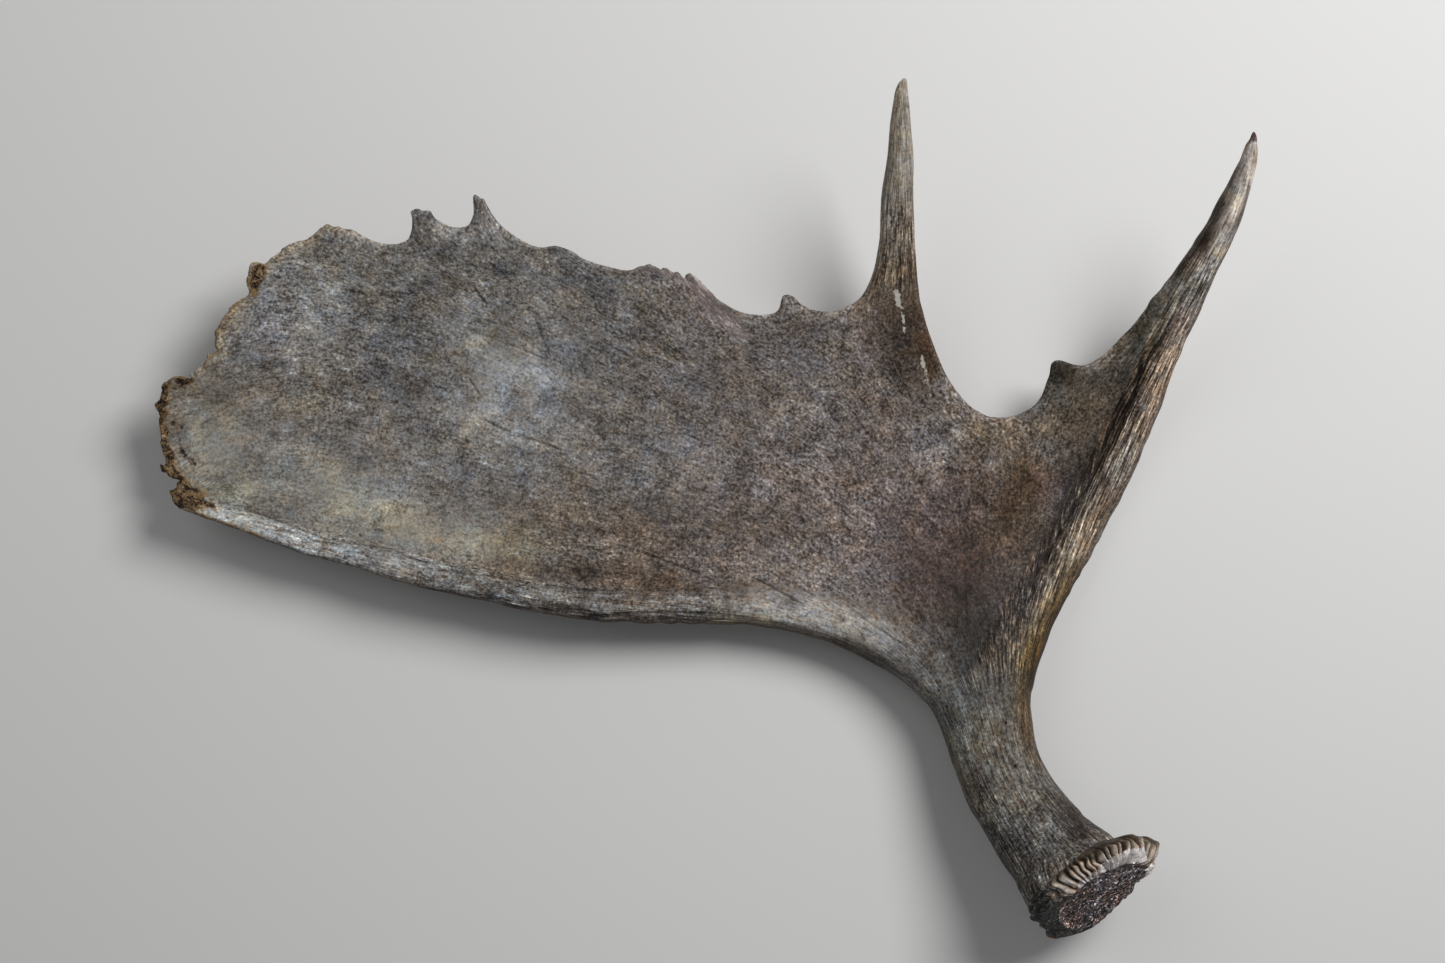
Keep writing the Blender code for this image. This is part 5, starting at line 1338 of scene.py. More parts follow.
def bone_surface():
    rim, n, depth = make_rim()
    m = len(rim)
    top = half_surface(rim, n, depth, CELL_TOP, 1)
    low = half_surface(rim, n, depth, CELL_LOW, -1)
    s = join_faces(top, low, m)
    s["x"], s["y"] = s["p"][:, 0], s["p"][:, 1]
    s["u"], s["v"] = s["x"] / PX + MID_U, MID_V - s["y"] / PX
    c = plan([(SEAL_U, SEAL_V)])[0]
    s["t"] = np.hypot(s["x"] - c[0], s["y"] - c[1])
    s["zr"] = s["z"] - s["mid"]
    fill_masks(s)
    co = place(s["x"], s["y"], s["z"]) * 1000
    nor = normals(co, s["tris"])
    lift, marks = relief(s)
    keep = np.clip(s["d"] / 2.0, 0.25, 1)
    co = co + nor * (lift * keep)[:, None]
    # the broken spongy bone at the outer end
    q = np.stack([s["x"], s["y"], s["z"]], axis=1)
    for ax in range(3):
        jolt = 0.95 * noise(q / 3.6, 61 + ax) + 0.65 * noise(q / 1.9, 65 + ax)
        co[:, ax] += s["crumb"] * jolt * (1.3 if ax == 2 else 0.65)
        co[:, ax] += s["fray"] * 0.35 * noise(q / 1.9, 71 + ax)
    co[:, 2] += s["crumb"] * np.where(s["side"] > 0, 0.5, -0.2)
    # the beam widens towards the beads of the burr
    at, right, up, out = seal_axes()
    rel = co - at
    deep, a, b = rel @ out, rel @ right, rel @ up
    a = a - 0.20 * np.minimum(deep + 6, 0)
    far = np.maximum(np.hypot(a, b), 1e-6)
    grow = 6.5 * np.exp(-(np.minimum(deep + 13, 0) / 11.0)**2) * smooth(-0.95, -0.40, b / far) \
        * (0.5 + 0.5 * smooth(-0.97, -0.72, a / far)) \
        * smooth(0.9, 0.35, a / far) * (far < 60) * (deep > -60) * smooth(-4.0, -9.0, deep)
    co += ((a / far)[:, None] * right + (b / far)[:, None] * up) * grow[:, None]
    z = co[:, 2]
    co[:, 2] = 0.5 * (z + np.sqrt(z * z + 0.16))
    return s, co, marks


def seal_axes():
    rise, turn = math.radians(SEAL_RISE), math.radians(SEAL_TURN)
    out = np.array((math.cos(rise) * math.cos(turn), math.cos(rise) * math.sin(turn),
                    math.sin(rise)))
    right = np.array((-math.sin(turn), math.cos(turn), 0.0))
    up = np.cross(out, right)
    c = plan([(SEAL_U, SEAL_V)])[0]
    at = place(np.array([c[0]]), np.array([c[1]]), np.array([SEAL_Z]))[0] * 1000
    return at, right, up, out


def mesh_object(name, co, faces, values):
    mesh = bpy.data.meshes.new(name)
    mesh.from_pydata((co * 0.001).tolist(), [], faces.tolist())
    for key, val in values.items():
        mesh.attributes.new(key, 'FLOAT', 'POINT').data.foreach_set(
            "value", np.asarray(val, np.float32))
    mesh.update()
    ob = bpy.data.objects.new(name, mesh)
    bpy.context.collection.objects.link(ob)
    return ob


def cut_at_seal(ob, inset):
    """Ends the beam a little inside the burr and closes it there."""
    at, right, up, out = seal_axes()
    bm = bmesh.new()
    bm.from_mesh(ob.data)
    near = Vector(at * 0.001)
    geom = [f for f in bm.faces if (f.calc_center_median() - near).length < 0.16]
    verts = {v for f in geom for v in f.verts}
    edges = {e for f in geom for e in f.edges}
    bmesh.ops.bisect_plane(bm, geom=list(verts) + list(edges) + geom, dist=1e-7,
                           plane_co=Vector((at - out * inset) * 0.001), plane_no=Vector(out),
                           clear_outer=True)
    loose = [e for e in bm.edges if e.is_boundary]
    filled = bmesh.ops.holes_fill(bm, edges=loose, sides=0)["faces"]
    bmesh.ops.triangulate(bm, faces=filled)
    bm.to_mesh(ob.data)
    bm.free()


def build_bone():
    s, co, marks = bone_surface()
    lum, warm, olive = stains_and_painted_light(s)
    values = {"psi": s["psi"], "lod": s["lod"], "zr": s["zr"], "along": s["t"],
              "rod": s["rod"], "lum": lum, "warm": warm, "olive": olive,
              "crumb": s["crumb"], "fray": s["fray"], "ridge": marks["ridge"],
              "crease": marks["crease"], "creased": marks["creased"],
              "furrow": marks["furrow"], "hole": marks["hole"], "scrape": marks["scrape"],
              "contrast": s["contrast"], "keen": s["keen"], "ribbed": s["ribbed"],
              "calm": s["calm"]}
    ob = mesh_object("antler", co, s["tris"], values)
    cut_at_seal(ob, 5.0)
    ob.data.shade_smooth()
    print("antler", len(ob.data.vertices), "points", len(ob.data.polygons), "faces")
    return ob


# ---------------------------------------------------------------------- burr
TOOTHED = [(-22, 22), (-19.5, 27.5), (-17, 32), (-14.5, 36), (-12, 38.8), (-9, 40.3),
           (-6.0, 40.6), (-3.6, 39.4), (-1.6, 36.6), (0.0, 33.6), (1.1, 30.8), (1.7, 28.2),
           (1.9, 25), (2.3, 18), (2.8, 10), (3.0, 0)]
ROUNDED = [(-22, 24), (-19, 31), (-16, 36.5), (-13, 39.5), (-10, 41), (-7, 41.6),
           (-4, 41.6), (-1, 40.8), (1.0, 39), (2.0, 36.2), (2.2, 32.6), (1.6, 29),
           (0.8, 25), (0.6, 18), (1.0, 10), (1.3, 0)]
RING_SIZE = [(0, 1.0), (4, 0.98), (9, 0.93), (16, 0.90), (26, 0.91), (40, 0.97),
             (60, 1.0), (78, 1.0), (95, 0.97), (130, 0.99), (150, 1.03), (162, 1.05),
             (172, 1.03), (182, 0.99), (192, 1.0), (204, 1.07), (213, 1.05), (224, 1.0),
             (240, 0.97), (268, 0.87), (300, 0.84), (318, 0.88), (326, 0.94), (340, 0.95),
             (343, 0.84), (346, 0.75), (350, 0.75), (354, 0.86), (357, 0.97), (360, 1.0)]
RING_PUSH = [(0, 0), (150, 0), (185, 1.0), (215, 4.6), (248, 5.0), (272, 2.0), (292, 0),
             (360, 0)]
TOOTH_COUNT = 57
LEAN_BACK = 0.17      # the seal looks up a little more than the collar behind it


def burr_surface():
    nphi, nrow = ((560, 84))
    phi = np.arange(nphi) * 2 * math.pi / nphi
    deg = np.degrees(phi)
    way = np.linspace(0, 1, nrow)
    way = np.append(way[:-1], 0.997)
    knots = np.linspace(0, 1, len(TOOTHED))

    def curve(table):
        t = np.asarray(table, float)
        at = way * (len(t) - 1)
        k = np.clip(at.astype(int), 0, len(t) - 2)
        f = at - k
        pad = np.vstack([2 * t[0] - t[1], t, 2 * t[-1] - t[-2]])
        p0, p1, p2, p3 = (pad[k + j] for j in range(4))
        f = f[:, None]
        return 0.5 * ((2 * p1) + (p2 - p0) * f + (2 * p0 - 5 * p1 + 4 * p2 - p3) * f**2
                      + (3 * p1 - p0 - 3 * p2 + p3) * f**3)

    toothed, rounded = curve(TOOTHED), curve(ROUNDED)
    # beads stand on the upper side; the lower left is worn smooth
    swing = np.where(deg > 180, deg - 360, deg)
    teeth = np.maximum(smooth(140, 126, swing) * smooth(-9, 0, swing),
                       0.8 * smooth(300, 312, deg) * smooth(350, 345, deg))
    mix = teeth[None, :, None]
    prof = toothed[:, None, :] * mix + rounded[:, None, :] * (1 - mix)
    size = np.interp(deg, *np.asarray(RING_SIZE, float).T)
    push = np.interp(deg, *np.asarray(RING_PUSH, float).T)
    size = blur_closed(size, 3)
    push = blur_closed(push, 120)
    s_, r_ = prof[..., 0].copy(), prof[..., 1].copy()
    outer = smooth(0.12, 0.3, way)[:, None] * smooth(0.86, 0.66, way)[:, None]
    r_ = r_ * (1 + (size - 1)[None, :] * np.maximum(outer, smooth(0.5, 0.6, way)[:, None]))
    s_ = s_ + push[None, :] * smooth(-12, -2, s_) * np.clip(r_ / 36.0, 0, 1)**1.6
    slim = (smooth(318, 328, deg) * smooth(357, 351, deg))[None, :]
    r_ = r_ * (1 - 0.26 * slim * smooth(-2.5, -7.0, s_))
    flat_s = s_.copy()
    s_ = s_ - LEAN_BACK * r_ * np.sin(phi)[None, :] * smooth(-17, -3, s_)

    ring = np.stack([np.cos(phi) * 40, np.sin(phi) * 40, 0 * phi], axis=1)
    phase = TOOTH_COUNT * (phi / (2 * math.pi) + 0.12 * np.clip(swing, -20, 75) / 360.0) \
        + 0.75 * noise(ring / 9.0, 81) \
        + 0.45 * noise(ring / 4.2, 82)
    spread = np.stack([s_ / 5.0, np.broadcast_to(ring[:, 0] / 14.0, s_.shape),
                       np.broadcast_to(ring[:, 1] / 14.0, s_.shape)], axis=-1)
    phase = phase[None, :] + 0.55 * noise(spread.reshape(-1, 3), 83).reshape(s_.shape)
    which = np.floor(phase).astype(int) % (TOOTH_COUNT + 8)
    rng = np.random.default_rng(11)
    tall = rng.uniform(0.55, 1.3, TOOTH_COUNT + 8)[which]
    back = rng.uniform(-2.4, 1.8, TOOTH_COUNT + 8)[which]
    front = rng.uniform(-1.6, 1.2, TOOTH_COUNT + 8)[which]
    ridge = np.sin(math.pi * (phase - np.floor(phase)))**1.05
    far_side = (smooth(84, 56, swing) * smooth(-9, 0, swing))[None, :]
    span = smooth(-19.5, -15.0, flat_s + 1.3 * back) * smooth(0.83, 0.74, way)[:, None] \
        * (1 - (0.45 - 0.30 * far_side) * smooth(0.58, 0.72, way)[:, None])
    tw = teeth[None, :]
    lift = tw * span * (ridge * (3.3 + 2.0 * far_side) * tall - 2.0 - 1.0 * far_side)
    # each finger is a knuckle: higher in its middle
    knuckle = np.exp(-((flat_s + 6.5 + 1.6 * back) / 3.2)**2) \
        + 0.8 * np.exp(-((flat_s - 0.2 + front) / 1.7)**2) \
        + 0.5 * np.exp(-((flat_s + 13.5 + 1.2 * front) / 2.4)**2)
    lift = lift + tw * ridge * knuckle * 1.5 * span
    hollow = np.exp(-((swing[None, :] - 82) / 7.0)**2) * np.exp(-((flat_s + 4.5) / 3.4)**2)
    lift = lift - 2.6 * hollow
    # the gaps between the beads, and the hollow, painted dark as shade in the colour
    gap = tw * span * (1 - ridge)**0.7 * (1 + 0.5 * far_side) \
        * np.maximum(smooth(0.80, 0.70, way)[:, None],
                     far_side * smooth(0.90, 0.82, way)[:, None])
    gap = np.maximum(gap, 0.85 * hollow)

    at, right, up, out = seal_axes()
    lean = -0.20 * np.minimum(s_ + 6.0, 0.0)
    cx, cy = np.cos(phi)[None, :], np.sin(phi)[None, :]

    def place_ring(rad, s):
        return (at + right * (rad * cx - lean)[..., None] + up * (rad * cy)[..., None]
                + out * s[..., None])

    co = place_ring(r_, s_)
    q = co.reshape(-1, 3)
    lone = np.ones((1, nphi))
    hull = 27.5 + 3.5 * (smooth(150, 190, deg) * smooth(352, 335, deg))[None, :]
    seal = smooth(hull + 1.6, hull - 0.6, r_) * (way > 0.55)[:, None]
    n_big = fractal(q / 9.0, 84, 2).reshape(co.shape[:2])
    n_mid = noise(q / 3.6, 86).reshape(co.shape[:2])
    n_fine = noise(q / 1.7, 87).reshape(co.shape[:2])
    pore = smooth(0.15, 0.7, noise(q / 2.9, 88)).reshape(co.shape[:2])
    pore = pore * smooth(0.0, 0.5, n_mid + 0.25)
    broad = 5.5 + 4.5 * (smooth(8, 24, deg) * smooth(96, 64, deg))[None, :] \
        + 2.2 * n_big + 1.2 * n_mid
    lip = smooth(hull - 0.8, hull + 0.8, r_ + 0.8 * n_mid) \
        * smooth(hull + broad, hull + broad - 2.5, r_) * (way > 0.45)[:, None]
    rough = smooth(0.16, 0.28, way)[:, None]
    lift = lift + rough * (1.0 * n_big * (1 - 0.5 * tw) + 0.45 * n_mid + 0.25 * n_fine)
    down = seal * (0.8 * n_big + 0.28 * n_mid + 0.22 * n_fine - 0.5 * pore)
    down = down + lip * (0.5 * n_mid + 0.4 * n_fine)
    # folds on the rounded left side, and one rusty crumb
    fold = np.sin(flat_s * 1.35 + 2.6 * n_big + 0.7 * n_mid) * (1 - teeth[None, :]) * outer
    fold = fold * (smooth(130, 150, deg) * smooth(262, 238, deg))[None, :]
    lift = lift + 0.75 * fold
    blob = np.exp(-(((deg[None, :] - 207) / 5.0)**2 + ((flat_s - 3.2) / 2.4)**2))
    lift = lift + 2.6 * blob
    knob = np.exp(-(((deg[None, :] - 176) / 6.0)**2 + ((flat_s + 4.5) / 3.0)**2))
    lift = lift + 2.0 * knob
    bits = np.exp(-(((deg[None, :] - 337) / 3.2)**2 + ((flat_s + 1.2) / 1.8)**2)) \
        + 0.8 * np.exp(-(((deg[None, :] - 329.5) / 2.6)**2 + ((flat_s + 0.6) / 1.6)**2))
    lift = lift + 4.6 * bits
    tip = smooth(0.9, 0.999, way)[:, None]
    rad = np.maximum(r_ + lift * (1 - seal) * (1 - tip), 0.05)
    co = place_ring(rad, s_ + down + 0.35 * lift * smooth(0.45, 0.62, way)[:, None]
                    * (1 - seal))

    cell = np.arange(nrow * nphi).reshape(nrow, nphi)
    a, b = cell[:-1], np.roll(cell, -1, axis=1)[:-1]
    c, d = np.roll(cell, -1, axis=1)[1:], cell[1:]
    quads = np.stack([a, b, c, d], axis=-1).reshape(-1, 4)
    tris = np.vstack([quads[:, [0, 1, 2]], quads[:, [0, 2, 3]]])
    pts = co.reshape(-1, 3)
    last = len(pts)
    ends = np.array([pts[cell[0]].mean(axis=0), pts[cell[-1]].mean(axis=0)])
    pts = np.vstack([pts, ends])
    first_fan = np.stack([np.roll(cell[0], -1), cell[0], np.full(nphi, last)], axis=1)
    last_fan = np.stack([cell[-1], np.roll(cell[-1], -1), np.full(nphi, last + 1)], axis=1)
    tris = np.vstack([tris, first_fan, last_fan])

    def flat(x):
        x = np.broadcast_to(x, (nrow, nphi)).reshape(-1)
        return np.append(x, [x[0], x[-1]])
    bright = smooth(124, 104, deg) * smooth(2, 14, deg) + smooth(314, 322, deg) \
        * smooth(350, 345, deg)
    white = np.clip(tw * ((0.16 * smooth(-15, -11, flat_s + back)
                           + 0.76 * smooth(-7.5, -3.0, flat_s + 0.8 * back))
                          * (way < 0.9)[:, None]), 0, 1)
    # gap carries painted shade between the beads; back marks browner bone behind them, darkened partly as painted
    # shade
    values = {"gap": flat(np.clip(gap, 0, 1)),
              "white": flat(np.maximum(white * ridge**0.7, bits) * (1 - seal)),
              "lip": flat(lip * bright[None, :]), "seal": flat(seal),
              "pore": flat(pore * seal),
              "back": flat(smooth(-6, -11, flat_s + 0.8 * back) * tw),
              "bare": flat((1 - tw) * (1 - seal)), "fold": flat(fold),
              "rust": flat(np.exp(-(((deg[None, :] - 207) / 7.0)**2
                                    + ((flat_s - 3.2) / 3.0)**2)) * (r_ > 34))}
    return pts, tris, values


def build_burr():
    pts, tris, values = burr_surface()
    ob = mesh_object("burr", pts, tris, values)
    bm = bmesh.new()
    bm.from_mesh(ob.data)
    bmesh.ops.recalc_face_normals(bm, faces=bm.faces[:])
    bm.to_mesh(ob.data)
    bm.free()
    ob.data.shade_smooth()
    print("burr", len(ob.data.vertices), "points", len(ob.data.polygons), "faces")
    return ob


# ----------------------------------------------------------------- materials
class Tree:
    """Short names for the nodes used here."""

    def __init__(self, name):
        self.mat = bpy.data.materials.new(name)
        self.mat.use_nodes = True
        self.t = self.mat.node_tree
        self.bsdf = self.t.nodes["Principled BSDF"]
        self.object = self.t.nodes.new("ShaderNodeTexCoord").outputs["Object"]

    def link(self, value, socket):
        if isinstance(value, bpy.types.NodeSocket):
            self.t.links.new(value, socket)
        else:
            socket.default_value = value

    def attr(self, name):
        n = self.t.nodes.new("ShaderNodeAttribute")
        n.attribute_name = name
        return n.outputs["Fac"]

    def math(self, op, a, b=0.0, c=0.0, clamp=False):
        n = self.t.nodes.new("ShaderNodeMath")
        n.operation = op
        n.use_clamp = clamp
        for k, x in enumerate((a, b, c)):
            self.link(x, n.inputs[k])
        return n.outputs[0]

    def add(self, *xs):
        out = xs[0]
        for x in xs[1:]:
            out = self.math('ADD', out, x)
        return out

    def mul(self, *xs):
        out = xs[0]
        for x in xs[1:]:
            out = self.math('MULTIPLY', out, x)
        return out

    def sub(self, a, b):
        return self.math('SUBTRACT', a, b)

    def step(self, x, lo, hi):
        n = self.t.nodes.new("ShaderNodeMapRange")
        n.interpolation_type = 'SMOOTHSTEP'
        self.link(x, n.inputs[0])
        n.inputs[1].default_value = lo
        n.inputs[2].default_value = hi
        return n.outputs[0]

    def vec(self, x, y, z):
        n = self.t.nodes.new("ShaderNodeCombineXYZ")
        for k, v in enumerate((x, y, z)):
            self.link(v, n.inputs[k])
        return n.outputs[0]

    def noise(self, vector, scale, detail=2.0, rough=0.5, warp=0.0, offset=0.0):
        """Fractal noise round zero, about -1 to 1."""
        n = self.t.nodes.new("ShaderNodeTexNoise")
        n.noise_dimensions = '4D' if offset else '3D'
        if offset:
            n.inputs["W"].default_value = offset
        self.link(vector, n.inputs["Vector"])
        n.inputs["Scale"].default_value = scale
        n.inputs["Detail"].default_value = detail
        n.inputs["Roughness"].default_value = rough
        n.inputs["Distortion"].default_value = warp
        return self.math('MULTIPLY_ADD', n.outputs[0], 4.0, -2.0)

    def dull(self, x, by):
        """Weaker light marks and stronger dark ones."""
        return self.add(self.sub(x, self.mul(self.math('ABSOLUTE', x), by)), 0.5 * by)

    def slant(self, vector):
        """Coordinates drawn out along the torn fibres of the top edge."""
        for part, value in (("Rotation", (0.0, 0.0, math.radians(51.0))),
                            ("Scale", (85.0, 640.0, 300.0))):
            n = self.t.nodes.new("ShaderNodeMapping")
            self.link(vector, n.inputs["Vector"])
            n.inputs[part].default_value = value
            vector = n.outputs[0]
        return vector

    def cells(self, vector, scale, spread=1.0):
        n = self.t.nodes.new("ShaderNodeTexVoronoi")
        self.link(vector, n.inputs["Vector"])
        n.inputs["Scale"].default_value = scale
        n.inputs["Randomness"].default_value = spread
        return n.outputs["Distance"]

    def fibres(self, cycles, stretch, detail=2.0, rough=0.5, shift=0.0):
        """Noise drawn out along the growth of the bone."""
        if not hasattr(self, "grain"):
            self.grain = [self.attr(k) for k in ("psi", "lod", "zr", "along")]
        psi, lod, zr, along = self.grain
        level = self.add(lod, math.log2(cycles))
        k = self.math('FLOOR', level)
        f = self.step(self.sub(level, k), 0.0, 1.0)
        z = self.mul(zr, cycles * 0.8)
        t = self.math('MULTIPLY_ADD', along, cycles / stretch, shift)
        k1 = self.add(k, 1.0)
        low = self.noise(self.vec(self.mul(psi, self.math('POWER', 2.0, k)), z,
                                  self.math('MULTIPLY_ADD', k, 7.7, t)), 1.0, detail, rough)
        high = self.noise(self.vec(self.mul(psi, self.math('POWER', 2.0, k1)), z,
                                   self.math('MULTIPLY_ADD', k1, 7.7, t)), 1.0, detail, rough)
        both = self.add(self.mul(low, self.sub(1.0, f)), self.mul(high, f))
        # the blend of two noises is weaker than either; this evens it out
        return self.mul(both, self.math('MULTIPLY_ADD', self.mul(f, self.sub(1.0, f)),
                                        1.6, 1.0))

    def mix(self, f, a, b):
        """Numbers."""
        return self.add(self.mul(a, self.sub(1.0, f)), self.mul(b, f))

    def colour_mix(self, f, a, b):
        n = self.t.nodes.new("ShaderNodeMix")
        n.data_type = 'RGBA'
        n.clamp_factor = True
        self.link(f, n.inputs[0])
        for x, k in ((a, 6), (b, 7)):
            if isinstance(x, tuple):
                x = (*x, 1.0)
            self.link(x, n.inputs[k])
        return n.outputs[2]

    def tinted(self, light, warm, olive):
        """Colour from a brightness, its warmth (log2 of red over blue) and
        greenness."""
        half = self.mul(warm, 0.5)
        red = self.mul(light, self.math('POWER', 2.0, half))
        green = self.mul(light, self.add(1.0, olive))
        blue = self.mul(light, self.math('POWER', 2.0, self.mul(half, -1.0)))
        n = self.t.nodes.new("ShaderNodeCombineColor")
        for k, v in enumerate((red, green, blue)):
            self.link(v, n.inputs[k])
        return n.outputs[0]

    def finish(self, colour, rough, height, spec=0.35):
        self.link(colour, self.bsdf.inputs["Base Color"])
        self.link(rough, self.bsdf.inputs["Roughness"])
        self.bsdf.inputs["Specular IOR Level"].default_value = spec
        bump = self.t.nodes.new("ShaderNodeBump")
        bump.inputs["Strength"].default_value = 1.0
        bump.inputs["Distance"].default_value = 0.001
        self.link(height, bump.inputs["Height"])
        self.link(bump.outputs[0], self.bsdf.inputs["Normal"])
        return self.mat


ALBEDO = 0.138      # of plain dish bone


def bone_material():
    t = Tree("weathered_bone")
    ob = t.object
    rod, crumb, fray = t.attr("rod"), t.attr("crumb"), t.attr("fray")
    ridge, con, ribbed = t.attr("ridge"), t.attr("contrast"), t.attr("ribbed")
    flat = t.sub(1.0, rod)

    # flat bone: short fibres, specks and clouds of every size
    short = t.fibres(1 / 17.0, 2.1, 5.0, 1.0)
    cloud = t.noise(ob, 42, 5.0, 0.95, 0.4)
    stroke = t.fibres(1 / 1.7, 3.8, 1.0, 0.6, 3.0)
    cream = t.step(t.fibres(1 / 7.0, 2.2, 3.0, 0.7, 5.0), 0.15, 0.85)
    brown = t.step(t.noise(ob, 75, 4.0, 0.75, 0.5, 4.4), 0.18, 0.75)
    strokes = t.add(t.step(stroke, 0.2, 1.0), t.mul(t.step(stroke, -0.2, -1.0), -1.0))
    speck = t.noise(ob, 560, 1.0, 0.7, 0.0, 5.5)
    dots = t.step(t.noise(ob, 470, 1.0, 0.6, 0.4, 9.7), -0.25, -0.95)
    keen = t.attr("keen")
    patches = t.noise(ob, 78, 1.0, 0.6, 0.8, 14.2)
    plain = t.add(t.mul(short, 0.98), t.mul(cloud, 0.98), t.mul(patches, 0.58), t.mul(strokes, t.mul(keen, 0.76)),
                  t.mul(speck, t.mul(keen, 1.36)), t.mul(cream, 0.30), t.mul(brown, -0.42),
                  t.mul(dots, t.mul(keen, -0.80)), 0.12)
    plain = t.dull(t.mul(plain, con), 0.22)

    # ribbed bone: long fibres
    long = t.fibres(1 / 13.0, 9, 5.0, 1.0, 11.0)
    thin = t.fibres(1 / 1.3, 13, 2.0, 0.8, 17.0)
    dark = t.step(t.fibres(1 / 2.4, 20, 2.0, 0.8, 23.0), 0.20, 0.75)
    fleck = t.step(t.fibres(1 / 2.6, 4.5, 2.0, 0.8, 31.0), 0.28, 0.8)
    blotch = t.noise(ob, 95, 4.0, 0.9, 0.4, 6.1)
    ribs = t.add(t.mul(long, t.math('MULTIPLY_ADD', ribbed, -0.35, 0.65)),
                 t.mul(short, t.math('MULTIPLY_ADD', ribbed, -0.60, 0.60)),
                 t.mul(thin, t.math('MULTIPLY_ADD', ribbed, 2.7, 0.5)),
                 t.mul(strokes, t.math('MULTIPLY_ADD', ribbed, -0.80, 0.90)),
                 t.mul(dark, t.math('MULTIPLY_ADD', ribbed, -1.1, -0.30)),
                 t.mul(fleck, t.math('MULTIPLY_ADD', ribbed, 0.8, -0.85)),
                 t.mul(blotch, t.math('MULTIPLY_ADD', ribbed, -0.9, 1.6)),
                 t.mul(speck, t.math('MULTIPLY_ADD', ribbed, 0.0, 1.2)),
                 t.mul(dots, t.math('MULTIPLY_ADD', ribbed, 0.0, -0.8)),
                 t.mul(t.sub(ridge, 0.5), 0.40), 0.30)
    ribs = t.dull(t.mul(ribs, t.attr("calm")), 0.20)
    stops = t.add(t.mul(plain, flat), t.mul(ribs, rod), t.attr("lum"))

    # creases, pits and furrows
    wave = t.noise(ob, 420, 2.0, 0.6, 0.0, 8.2)
    off = t.math('ABSOLUTE', t.add(t.attr("crease"), t.mul(wave, 0.35)))
    crack = t.mul(t.step(off, 1.15, 0.25), t.attr("creased"),
                  t.step(t.noise(ob, 150, 1.0, 0.5, 0.0, 1.9), -1.1, -0.1))
    pit = t.step(t.add(t.attr("hole"), t.mul(wave, 0.30)), 0.25, -0.55)
    furrow = t.attr("furrow")
    stops = t.sub(stops, t.add(t.mul(crack, 1.35), t.mul(pit, 1.9), t.mul(furrow, 0.5)))

    light = t.mul(t.math('POWER', 2.0, stops), ALBEDO)
    hue = t.noise(ob, 45, 6.0, 1.0, 0.4, 3.3)
    warm = t.add(t.attr("warm"), t.mul(hue, 0.80), t.mul(t.mul(plain, flat), -0.14),
                 t.mul(patches, t.mul(flat, 0.10)),
                 t.mul(cream, t.mul(flat, 0.04)), t.mul(brown, t.mul(flat, 0.10)),
                 t.mul(ribs, t.mul(rod, t.math('MULTIPLY_ADD', ribbed, 0.12, -0.17))),
                 t.mul(dark, t.mul(rod, 0.35)), t.mul(fleck, t.mul(rod, 0.40)),
                 t.mul(pit, 0.4), t.mul(crack, 0.2),
                 t.mul(rod, -0.04))
    olive = t.add(t.attr("olive"), t.mul(hue, 0.05), t.mul(stops, 0.006),
                  t.mul(t.noise(ob, 360, 2.0, 0.8, 0.0, 12.3), 0.030))
    colour = t.tinted(light, warm, olive)
    scraped = t.step(t.add(t.attr("scrape"), t.mul(wave, 1.2)), 0.35, -0.45)
    colour = t.colour_mix(t.mul(scraped, 0.8), colour, (0.50, 0.48, 0.42))

    # broken spongy bone: ochre grains with dark pores
    pores = t.cells(ob, 330)
    grain = t.noise(ob, 330, 2.0, 0.9, 0.6, 7.7)
    lumps = t.noise(ob, 200, 2.0, 0.8, 0.6, 9.1)
    holes = t.noise(ob, 190, 2.0, 0.8, 1.0, 2.6)
    bits = t.add(t.mul(lumps, 1.0), t.mul(grain, 0.8))
    rusty = t.colour_mix(t.step(bits, -0.55, 0.25), (0.020, 0.010, 0.005),
                         (0.140, 0.086, 0.040))
    rusty = t.colour_mix(t.step(bits, 0.10, 0.85), rusty, (0.26, 0.175, 0.088))
    rusty = t.colour_mix(t.step(bits, 0.8, 1.2), rusty, (0.50, 0.43, 0.33))
    rusty = t.colour_mix(t.step(pores, 0.26, 0.12), rusty, (0.016, 0.009, 0.004))
    rusty = t.colour_mix(t.step(holes, -0.14, -0.42), rusty, (0.012, 0.007, 0.003))
    fringe = t.mul(t.step(crumb, 0.08, 0.30), t.step(crumb, 0.62, 0.40),
                   t.step(lumps, -0.5, 0.5))
    colour = t.colour_mix(t.step(t.add(crumb, t.mul(bits, 0.22)), 0.25, 0.62), colour, rusty)
    colour = t.colour_mix(t.mul(fringe, 0.7), colour, (0.25, 0.155, 0.062))
    strands = t.step(t.noise(t.slant(ob), 1.0, 2.0, 0.7, 0.0, 1.3), -0.25, 0.65)
    pinkish = t.tinted(t.mul(t.math('POWER', 2.0, t.add(t.mul(strands, 1.8),
                                                        t.mul(t.attr("lum"), 0.7))), 0.090),
                       0.34, -0.06)
    colour = t.colour_mix(t.mul(t.step(fray, 0.10, 0.6), t.math('MULTIPLY_ADD', strands, 0.25,
                                                               0.68)), colour, pinkish)

